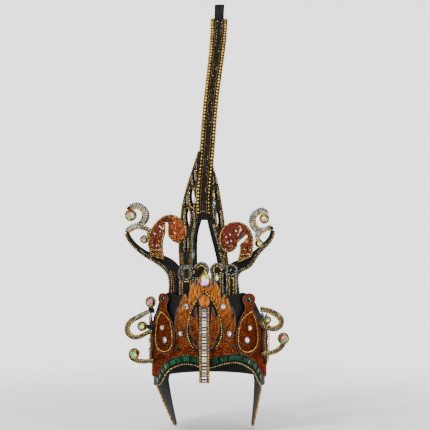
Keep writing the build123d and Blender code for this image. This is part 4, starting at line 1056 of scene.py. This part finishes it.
# The width of a scroll's band, and the share of its height above which it is silver
SCROLLS = {
    "side_loop_left": (0.0084, 0.5),
    "side_loop_right": (0.0084, 0.95),
    "side_hook_left": (0.0084, 0.3),
    "side_hook_right": (0.0084, 1.0),
    "curl_left": (0.0120, 0.0),
    "curl_right": (0.0120, 0.0),
}
DASH_PITCH = 0.0014
DASH_HALF = 0.00066
DASH_THICK = 0.0007
# Shares of the width: where the dashes and the rope run, and their half lengths
DASH_AT, DASH_REACH = 0.19, 0.29
ROPE_AT, ROPE_REACH = 0.25, 0.235
BEND_REACH = 5
BEND_GAIN = 6.0
BEND_WINDOW = 9


def bend_sides(ways):
    """Which side each place of a line bends to, from -1 to 1, changing gently along it."""
    sides = []
    for i, way in enumerate(ways):
        bend = ways[min(i + BEND_REACH, len(ways) - 1)] - ways[max(i - BEND_REACH, 0)]
        sides.append(max(-1.0, min(1.0, bend.dot(FRONT.cross(way)) * BEND_GAIN)))
    padded = np.pad(sides, BEND_WINDOW // 2, mode="edge")
    return np.convolve(padded, np.ones(BEND_WINDOW) / BEND_WINDOW, mode="valid")


def scroll_trims(node, width, silver_above):
    """A dashed band on a scroll's outer side, silver above and gold below, and a gold rope inside."""
    low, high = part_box(node)
    change = low.z + (high.z - low.z) * silver_above
    silver, black, gold = [], [], []
    for line in middle_runs(rims(node, faces_front)[0], width, low.y):
        spots = evenly(line, DASH_PITCH)
        ways = tangents(spots)
        rope = []
        for i, (spot, way, side) in enumerate(zip(spots, ways, bend_sides(ways))):
            across = FRONT.cross(way) * float(side)
            centre = spot - across * (width * DASH_AT) + FRONT * LIFT
            dash = turned(centre, way, FRONT, (DASH_HALF, width * DASH_REACH, DASH_THICK))
            (black if i % 2 else silver if spot.z > change else gold).append(dash)
            rope.append(spot + across * (width * ROPE_AT) + FRONT * 0.0008)
        for spot, way in list(zip(rope, tangents(rope)))[::2]:
            size = (0.0013, width * ROPE_REACH, 0.0016)
            gold.append(turned(spot, slanted(way, FRONT, 0.45), FRONT, size))
    grains(f"{node}_bars", silver, "silver", BAR, smooth=False)
    grains(f"{node}_dark_bars", black, "black_gloss", BAR, smooth=False)
    grains(f"{node}_rope", gold, "old_gold")


# Paisleys and ring loops

RNG = np.random.default_rng(7)
PAISLEY_ROWS = 20
# Shares of a paisley's height and width, the stripes up its stem, and the chances of its beads
STEM_TOP = 0.42
STEM_ROOT = 0.16
STRIPES = 62.0
STRIPE_FROM = 0.25
DISC_FROM = 0.1
PALE_CHANCE = 0.45
ORANGE_CHANCE = 0.8
RUST_CHANCE = {"left": 0.62, "right": 0.35}


def paisley_beads():
    """Seed beads all over the paisleys: a gold edge, rust and red rows, pale rows across the stems."""
    for side, sign in SIDES:
        node = f"paisley_{side}"
        low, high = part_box(node)

        def kind(spot, row):
            rise = (spot.z - low.z) / (high.z - low.z)
            if row == 0:
                return "old_gold"
            toss = RNG.random()
            if rise < STEM_TOP and math.sin(rise * STRIPES) > STRIPE_FROM:
                return "pale_gold" if toss < PALE_CHANCE and rise > STEM_ROOT else "old_gold"
            disc = (spot.x - (low.x + high.x) / 2) * sign < -DISC_FROM * (high.x - low.x)
            if side == "left" and disc:
                return "orange" if toss < ORANGE_CHANCE else "rust"
            return "rust" if toss < RUST_CHANCE[side] else "red"

        plate_beads(node, PAISLEY_ROWS, kind, SEEDS)


def loop_plate_beads():
    """Pewter and gold rope rows round the ring loops behind the diadem."""
    for node in nodes_of("loop_plate"):
        plate_beads(node, 2, lambda spot, row: ("pewter", "old_gold")[row], THIN_ROPES)


# Legs and arms

# Where a rope runs on a plate, how far from the edge, half its width, and its material
LEG_ROPES = (
    ("window", 0.0011, 0.0010, "silver"),
    ("window", 0.0040, 0.0019, "old_gold"),
    ("outer", 0.0019, 0.0018, "old_gold"),
    ("outer", 0.0052, 0.0013, "bronze"),
    ("inner", 0.0060, 0.0012, "silver"),
    ("inner", 0.0092, 0.0019, "old_gold"),
    ("low", 0.0090, 0.0018, "old_gold"),
    ("low", 0.0128, 0.0018, "old_gold"),
    ("low", 0.0166, 0.0016, "bronze"),
)
ARM_ROPES = (
    ("outer", 0.0018, 0.0017, "old_gold"),
    ("outer", 0.0050, 0.0014, "pewter"),
    ("low", 0.0084, 0.0018, "old_gold"),
    ("low", 0.0122, 0.0018, "bronze"),
    ("low", 0.0160, 0.0018, "old_gold"),
    ("low", 0.0198, 0.0018, "old_gold"),
)
# Heights below which the low ropes run
LEG_LOW = 0.120
ARM_LOW = 0.092
ROPE_PITCH = 0.0030
ROPE_GAP = 0.0022
GRAIN_HALF = 0.0012
GRAIN_PROUD = 0.0017
EDGE_SLACK = 0.84
SAME_PLANE = 0.95


def plate_normal(node):
    """The direction that most of a flat plate's front faces."""
    sums = {}
    for face in NODES[node].data.polygons:
        if face.normal.y < FACES_FRONT:
            key = tuple(round(c, 1) for c in face.normal)
            sums[key] = sums.get(key, Vector()) + face.normal * face.area
    return max(sums.values(), key=lambda total: total.length).normalized()


def plate_ropes(node, ropes, place_of):
    """Ropes that follow the edges of a flat plate's front, in its own plane."""
    out = plate_normal(node)
    loops = rims(node, lambda normal, centre: normal.dot(out) > SAME_PLANE)
    edges = tree_of([p for loop in loops for p in evenly(loop, 0.0007, True)])
    sets, taken = {}, []
    for where, inset, half, kind in ropes:
        for i, loop in enumerate(loops):
            line = drawn_in(eased(loop, 0.0018, 3), lambda p: out, inset, LIFT)
            moved = evenly(line, ROPE_PITCH, True)
            for spot, way in zip(moved, tangents(moved, True)):
                if where not in place_of(spot, out.cross(way), i > 0):
                    continue
                if edges.find(spot)[2] < inset * EDGE_SLACK:
                    continue
                if any((spot - other).length < ROPE_GAP for other in taken):
                    continue
                taken.append(spot)
                size = (GRAIN_HALF, half, min(half, GRAIN_PROUD))
                sets.setdefault(kind, []).append(turned(spot, slanted(way, out, 0.4), out, size))
    grains_by_kind(node, sets)


def leg_ropes():
    """Gold ropes round the legs' windows and down both sides, set further in on the inner side."""
    for side, sign in SIDES:

        def place_of(spot, inward, window):
            if window:
                return ("window",)
            edge = "inner" if inward.x * sign > 0.2 else "outer"
            return (edge, "low") if spot.z < LEG_LOW else (edge,)

        plate_ropes(f"leg_{side}", LEG_ROPES, place_of)


def arm_ropes():
    """Gold ropes along the lower edges of the arms, and over their roots."""
    for side, sign in SIDES:

        def place_of(spot, inward, window):
            lower = inward.z > 0.15 or inward.x * sign < -0.6
            if not lower:
                return ()
            return ("outer", "low") if spot.z < ARM_LOW else ("outer",)

        plate_ropes(f"arm_{side}", ARM_ROPES, place_of)


# Copper leaves

# Material of an edge line, its radius, and the nodes that have it
EDGES = (
    ("edge", 0.00055, ("leaf_top", "bud", "diadem_face", "leaf_flame", "inner_leaves", "lobe",
                       "side_leaf")),
    ("black_gloss", 0.00095, ("leaf_gem", "leaf_low")),
)
# Shares of a leaf's half width at which its strands run
STRANDS = {
    "leaf_top": (-0.66, -0.33, 0.0, 0.33, 0.66),
    "leaf_flame": (-0.6, -0.2, 0.2, 0.6),
    "leaf_gem": (-0.6, -0.2, 0.2, 0.6),
    "leaf_low": (-0.6, -0.2, 0.2, 0.6),
    "inner_leaves": (-0.55, 0.0, 0.55),
    "side_leaf": (-0.7, 0.7),
}
STRAND_STEPS = 44
STRAND_FROM, STRAND_RISE = 0.05, 0.87
STRAND_CLOSING = 0.2
STRAND_RADIUS = 0.0005
STRAND_WAVE = 0.0006


def leaf_edges():
    """Thin grey lines along the cut edges of the copper, and black gaps round the stone leaves."""
    for kind, radius, stems in EDGES:
        parts = []
        for node in nodes_of(*stems):
            for loop in rims(node, faces_out):
                line = drawn_in(eased(loop, 0.0022, 1), wall_normal, -radius * 0.3, -radius * 0.4)
                parts.append(tube(line, radius, 5, True, wall_normal))
        joined(f"leaf_{kind}", parts, kind)


def span_at(loop, level):
    """The least and greatest X of an outline at a height."""
    found = []
    for a, b in pairs(loop):
        if (a.z > level) != (b.z > level):
            found.append(a.x + (level - a.z) * (b.x - a.x) / (b.z - a.z))
    return (min(found), max(found)) if found else None


def strand(node, loop, share):
    """Runs of places up a leaf's front that keep a share of its half width from its middle."""
    low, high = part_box(node)
    runs = [[]]
    for i in range(STRAND_STEPS):
        rise = STRAND_FROM + STRAND_RISE * i / STRAND_STEPS
        level = low.z + (high.z - low.z) * rise
        span = span_at(loop, level)
        if not span:
            continue
        half = (span[1] - span[0]) / 2
        wave = STRAND_WAVE * math.sin(i * 0.4 + share * 9.0)
        x = span[0] + half * (1.0 + share * (1.0 - STRAND_CLOSING * rise)) + wave
        found = laid(node, Vector((x, 0.0, level)))
        if found:
            runs[-1].append(found[0])
        else:
            runs.append([])
    return [run for run in runs if len(run) >= SHORT_RUN]


def leaf_strands():
    """Fine dark lines up the copper leaves where they have engraved grooves; their darkness is painted
    shade of the grooves.
    """
    parts = []
    for stem, shares in STRANDS.items():
        for node in nodes_of(stem):
            loop = rims(node, faces_out)[0]
            for run in [run for share in shares for run in strand(node, loop, share)]:
                line = softened(evenly(run, 0.002), 2)
                parts.append(tube(line, STRAND_RADIUS, 5, out=wall_normal, flat_share=0.5))
    joined("leaf_strands", parts, "strand")


# Spire

ROPE_SIZE = (0.0014, 0.0024, 0.0013)
FINE_ROPE = 0.0013
FINE_ROPE_SHIFT = 0.0037
SPECK_CHANCE = 0.22
SPECK_SHIFT, SPECK_SPREAD = 0.0022, 0.0012
SPECK_SIZE = (0.0008, 0.0008, 0.0006)


def blade_ropes():
    """A gold rope round each window of the spire's side blades, and along their edges."""
    for side, sign in SIDES:
        out = Vector((sign, 0.0, 0.0))
        ropes = []
        for loop in rims(f"blade_{side}", lambda normal, centre: normal.x * sign > 0.8):
            line = drawn_in(eased(loop, 0.0032, 2), lambda p: out, 0.0024, 0.0002)
            for spot, way in zip(line, tangents(line, True)):
                ropes.append(turned(spot, slanted(way, out, 0.45), out, ROPE_SIZE))
        grains(f"blade_{side}_rope", ropes, "old_gold")


def fine_rope(line, radius):
    """Slanted grains along a line, which read as a twisted rope."""
    spots = evenly(line, radius * 1.15)
    made = []
    for spot, along in zip(spots, tangents(spots)):
        slant = (along * 0.75 + FRONT.cross(along).normalized()).normalized()
        made.append(turned(spot, slant, FRONT, (radius * 1.12, radius * 0.62, radius)))
    return made


def spire_ropes():
    """A finer rope and silver specks inside the spire's bead strings."""
    rope, specks = [], []
    for side, sign in SIDES:
        for line in middle_lines(f"spire_string_{side}", STRINGS["spire_string"][0]):
            run = []
            for spot in evenly(line, 0.003):
                moved = spot - Vector((sign * FINE_ROPE_SHIFT, 0.0, 0.0))
                found = laid("spire_core", moved) or laid(f"blade_{side}", moved)
                if found:
                    run.append(found[0] + FRONT * 0.0004)
            if len(run) > 3:
                rope += fine_rope(softened(run, 3), FINE_ROPE)
            for spot in run:
                if RNG.random() < SPECK_CHANCE:
                    aside = spot - Vector((sign * (SPECK_SHIFT + SPECK_SPREAD * RNG.random()), 0.0, 0.0))
                    specks.append(turned(aside, UP, FRONT, SPECK_SIZE))
    grains("spire_fine_rope", rope, "bronze")
    grains("spire_specks", specks, "silver")


# Stones and slots, laid where the photo shows them

class Seen(NamedTuple):
    """A thing on a node: its pixel (u, v) of the photo, its turn, half its length and its material."""
    node: str
    u: float
    v: float
    turn: float
    half: float
    kind: str = "foam"


OVALS = (
    Seen("leg_left", 195, 201, 80, 0.0075, "smoke_stone"),
    Seen("leg_left", 189, 222, 80, 0.0080, "smoke_stone"),
    Seen("leg_left", 194, 255, 85, 0.0080, "smoke_stone"),
    Seen("leg_right", 214, 202, 100, 0.0050, "clear_stone"),
    Seen("loop_plate_right", 217, 278, 95, 0.0080, "smoke_stone"),
    Seen("side_loop_left", 150, 317, 85, 0.0060, "clear_stone"),
    Seen("side_loop_left", 154, 317, 85, 0.0060, "smoke_stone"),
    Seen("side_loop_right", 258, 309, 115, 0.0065, "smoke_stone"),
    Seen("diadem_backing", 163.8, 298.2, 80, 0.0050, "smoke_stone"),
    Seen("diadem_backing", 249.4, 298.6, 100, 0.0050, "smoke_stone"),
    Seen("arm_right", 230.5, 270.5, 60, 0.0036, "smoke_stone"),
    Seen("arm_right", 233.0, 267.0, -20, 0.0040, "old_gold"),
    Seen("paisley_left", 157.2, 234.2, -25, 0.0030, "black_gloss"),
    Seen("paisley_left", 154.8, 233.8, -20, 0.0030, "pale_gold"),
    Seen("paisley_left", 161.6, 227.8, -38, 0.0042, "pale_gold"),
    Seen("paisley_left", 169.3, 219.0, 0, 0.0030, "black_gloss"),
    Seen("paisley_right", 242.2, 236.3, 42, 0.0052, "black_gloss"),
    Seen("paisley_right", 247.0, 241.6, 42, 0.0044, "old_gold"),
    Seen("paisley_right", 238.3, 234.6, 60, 0.0028, "smoke_stone"),
    Seen("paisley_right", 240.2, 230.4, 65, 0.0046, "pale_gold"),
)
SLOTS = (
    Seen("diadem_face", 179.3, 349.0, 6, 0.0065),
    Seen("diadem_face", 236.5, 348.4, -5, 0.0070),
    Seen("diadem_face", 181.0, 338.5, -38, 0.0042),
    Seen("diadem_face", 234.4, 333.6, 25, 0.0038),
    Seen("inner_leaves_left", 194.0, 316.0, -60, 0.0056),
    Seen("inner_leaves_left", 192.4, 329.0, -75, 0.0055),
    Seen("inner_leaves_left", 196.5, 343.5, -48, 0.0060),
    Seen("inner_leaves_right", 217.4, 315.0, 65, 0.0052),
    Seen("inner_leaves_right", 219.8, 328.5, -78, 0.0060),
    Seen("inner_leaves_right", 217.4, 343.5, 40, 0.0060),
    Seen("leaf_low_left", 180.6, 311.4, -40, 0.0048),
    Seen("leaf_gem_left", 187.4, 297.4, -62, 0.0046),
    Seen("leaf_gem_right", 226.4, 297.6, 62, 0.0046),
    Seen("leaf_low_right", 232.4, 316.4, 48, 0.0046),
    Seen("leaf_top", 192.6, 294.0, -70, 0.0050),
    Seen("leaf_top", 213.9, 287.0, 72, 0.0056),
    Seen("lobe_right", 252.2, 343.0, 22, 0.0036),
    Seen("lobe_right", 246.6, 325.4, 40, 0.0030),
    Seen("lobe_left", 163.0, 346.0, -20, 0.0038),
)
GEMS = [Seen(node, u, v, 90, half, "clear_stone") for node, u, v, half in (
    ("paisley_left", 174.5, 223.0, 0.0014),
    ("paisley_left", 175.0, 233.2, 0.0014),
    ("paisley_left", 160.4, 231.5, 0.0015),
    ("paisley_left", 159.6, 225.8, 0.0012),
    ("paisley_right", 236.0, 230.8, 0.0017),
    ("paisley_right", 230.2, 234.6, 0.0015),
    ("paisley_right", 226.2, 237.1, 0.0015),
    ("paisley_right", 227.3, 242.6, 0.0017),
    ("paisley_right", 231.1, 241.2, 0.0015),
    ("paisley_right", 244.6, 240.9, 0.0015),
    ("paisley_right", 240.0, 226.5, 0.0013),
)]
SLOT_THICK = 0.0006


def seen_places(items, lift, size_of):
    """Places for things on the nodes that the photo shows them on, in sets by material."""
    sets = {}
    for item in items:
        found = seen_at(item.node, item.u, item.v)
        if found:
            centre, normal = found
            turn = math.radians(item.turn)
            along = Vector((math.cos(turn), 0.0, math.sin(turn)))
            placed = turned(centre + normal * lift, along, normal, size_of(item.half))
            sets.setdefault(item.kind, []).append(placed)
    return sets


def stones_and_slots():
    """Pointed oval stones, dark slots in the copper, and small stones among the paisleys' beads."""
    ovals = seen_places(OVALS, 0.0008, lambda half: (half, half, half * 0.6))
    grains_by_kind("ovals", ovals, NAVETTE, smooth=False)
    slots = seen_places(SLOTS, 0.0001, lambda half: (half * 1.2, half * 0.8, SLOT_THICK))
    grains("slots", slots["foam"], "foam", NAVETTE, smooth=False)
    gems = seen_places(GEMS, 0.0012, lambda half: (half, half, half * 0.7))
    grains("paisley_gems", gems["clear_stone"], "clear_stone", smooth=False)


for string, row in STRINGS.items():
    for node in nodes_of(string):
        bead_string(node, *row)
flap_beads()
emerald_spikes()
stone_rims()
cup_rings()
for node, row in SCROLLS.items():
    scroll_trims(node, *row)
paisley_beads()
leg_ropes()
arm_ropes()
loop_plate_beads()
leaf_edges()
leaf_strands()
blade_ropes()
stones_and_slots()
spire_ropes()


# Camera, floor and light

def camera():
    """The photo's camera."""
    made = put("camera", bpy.data.cameras.new("camera"))
    made.location = AIM + CAMERA_BACK * CAMERA_DISTANCE
    made.rotation_euler = (math.pi / 2, 0.0, CAMERA_TURN)
    made.data.lens = LENS_MM
    made.data.sensor_width = SENSOR_MM
    bpy.context.scene.camera = made


def floor():
    """A plain pale floor just below the part, which fades out at its rim."""
    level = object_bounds()[0][2] - FLOOR_DROP
    verts = [(FLOOR_RADIUS * x, FLOOR_RADIUS * y, level) for x, y in circle(FLOOR_SIDES)]
    made = put("floor", mesh_of("floor", verts, [range(FLOOR_SIDES)], smooth=False))
    pale, tree, main = shader("floor")
    paint(tree, main, blend_colors(tree, noise(tree, 3.0, 2.0), (0.86, 0.86, 0.86), (0.9, 0.9, 0.9)))
    coords = add(tree, "TexCoord").outputs["Object"]
    reach = worked(tree, "LENGTH", coords, kind=VECTORS, output="Value")
    fade = mapped(tree, reach, FADE_START, FADE_END, 1.0, 0.0, "SMOOTHSTEP")
    tree.links.new(fade, main.inputs["Alpha"])
    settle(main, {"Roughness": 0.9})
    made.data.materials.append(pale)
    made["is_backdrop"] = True


def area_light(name, spot, size, power):
    """A soft square light aimed at the part."""
    data = bpy.data.lights.new(name, "AREA")
    data.shape = "SQUARE"
    data.size = size
    data.energy = power
    made = put(name, data)
    made.location = spot
    made.rotation_mode = "QUATERNION"
    made.rotation_quaternion = (AIM - Vector(spot)).to_track_quat("-Z", "Y")


def world():
    """A surround that is white at the horizon and grey above and below."""
    made = bpy.data.worlds.new("surround")
    bpy.context.scene.world = made
    made.use_nodes = True
    tree = made.node_tree
    sky = ramp(tree, mapped(tree, height(tree, "Generated"), -1.0, 1.0), [
        (0.0, (0.45, 0.45, 0.45)),
        (0.30, (0.50, 0.50, 0.50)),
        (0.42, (1.0, 1.0, 1.0)),
        (0.57, (1.0, 1.0, 1.0)),
        (0.68, (0.42, 0.42, 0.43)),
        (1.0, (0.34, 0.34, 0.35)),
    ])
    tree.links.new(sky, tree.nodes["Background"].inputs["Color"])
    tree.nodes["Background"].inputs["Strength"].default_value = WORLD_STRENGTH


camera()
floor()
area_light("key", (-1.1, -1.9, 2.1), 0.5, 70.0)
area_light("fill", (1.9, -1.6, 0.6), 0.6, 18.0)
area_light("back", (0.4, 2.0, 1.6), 1.0, 25.0)
world()
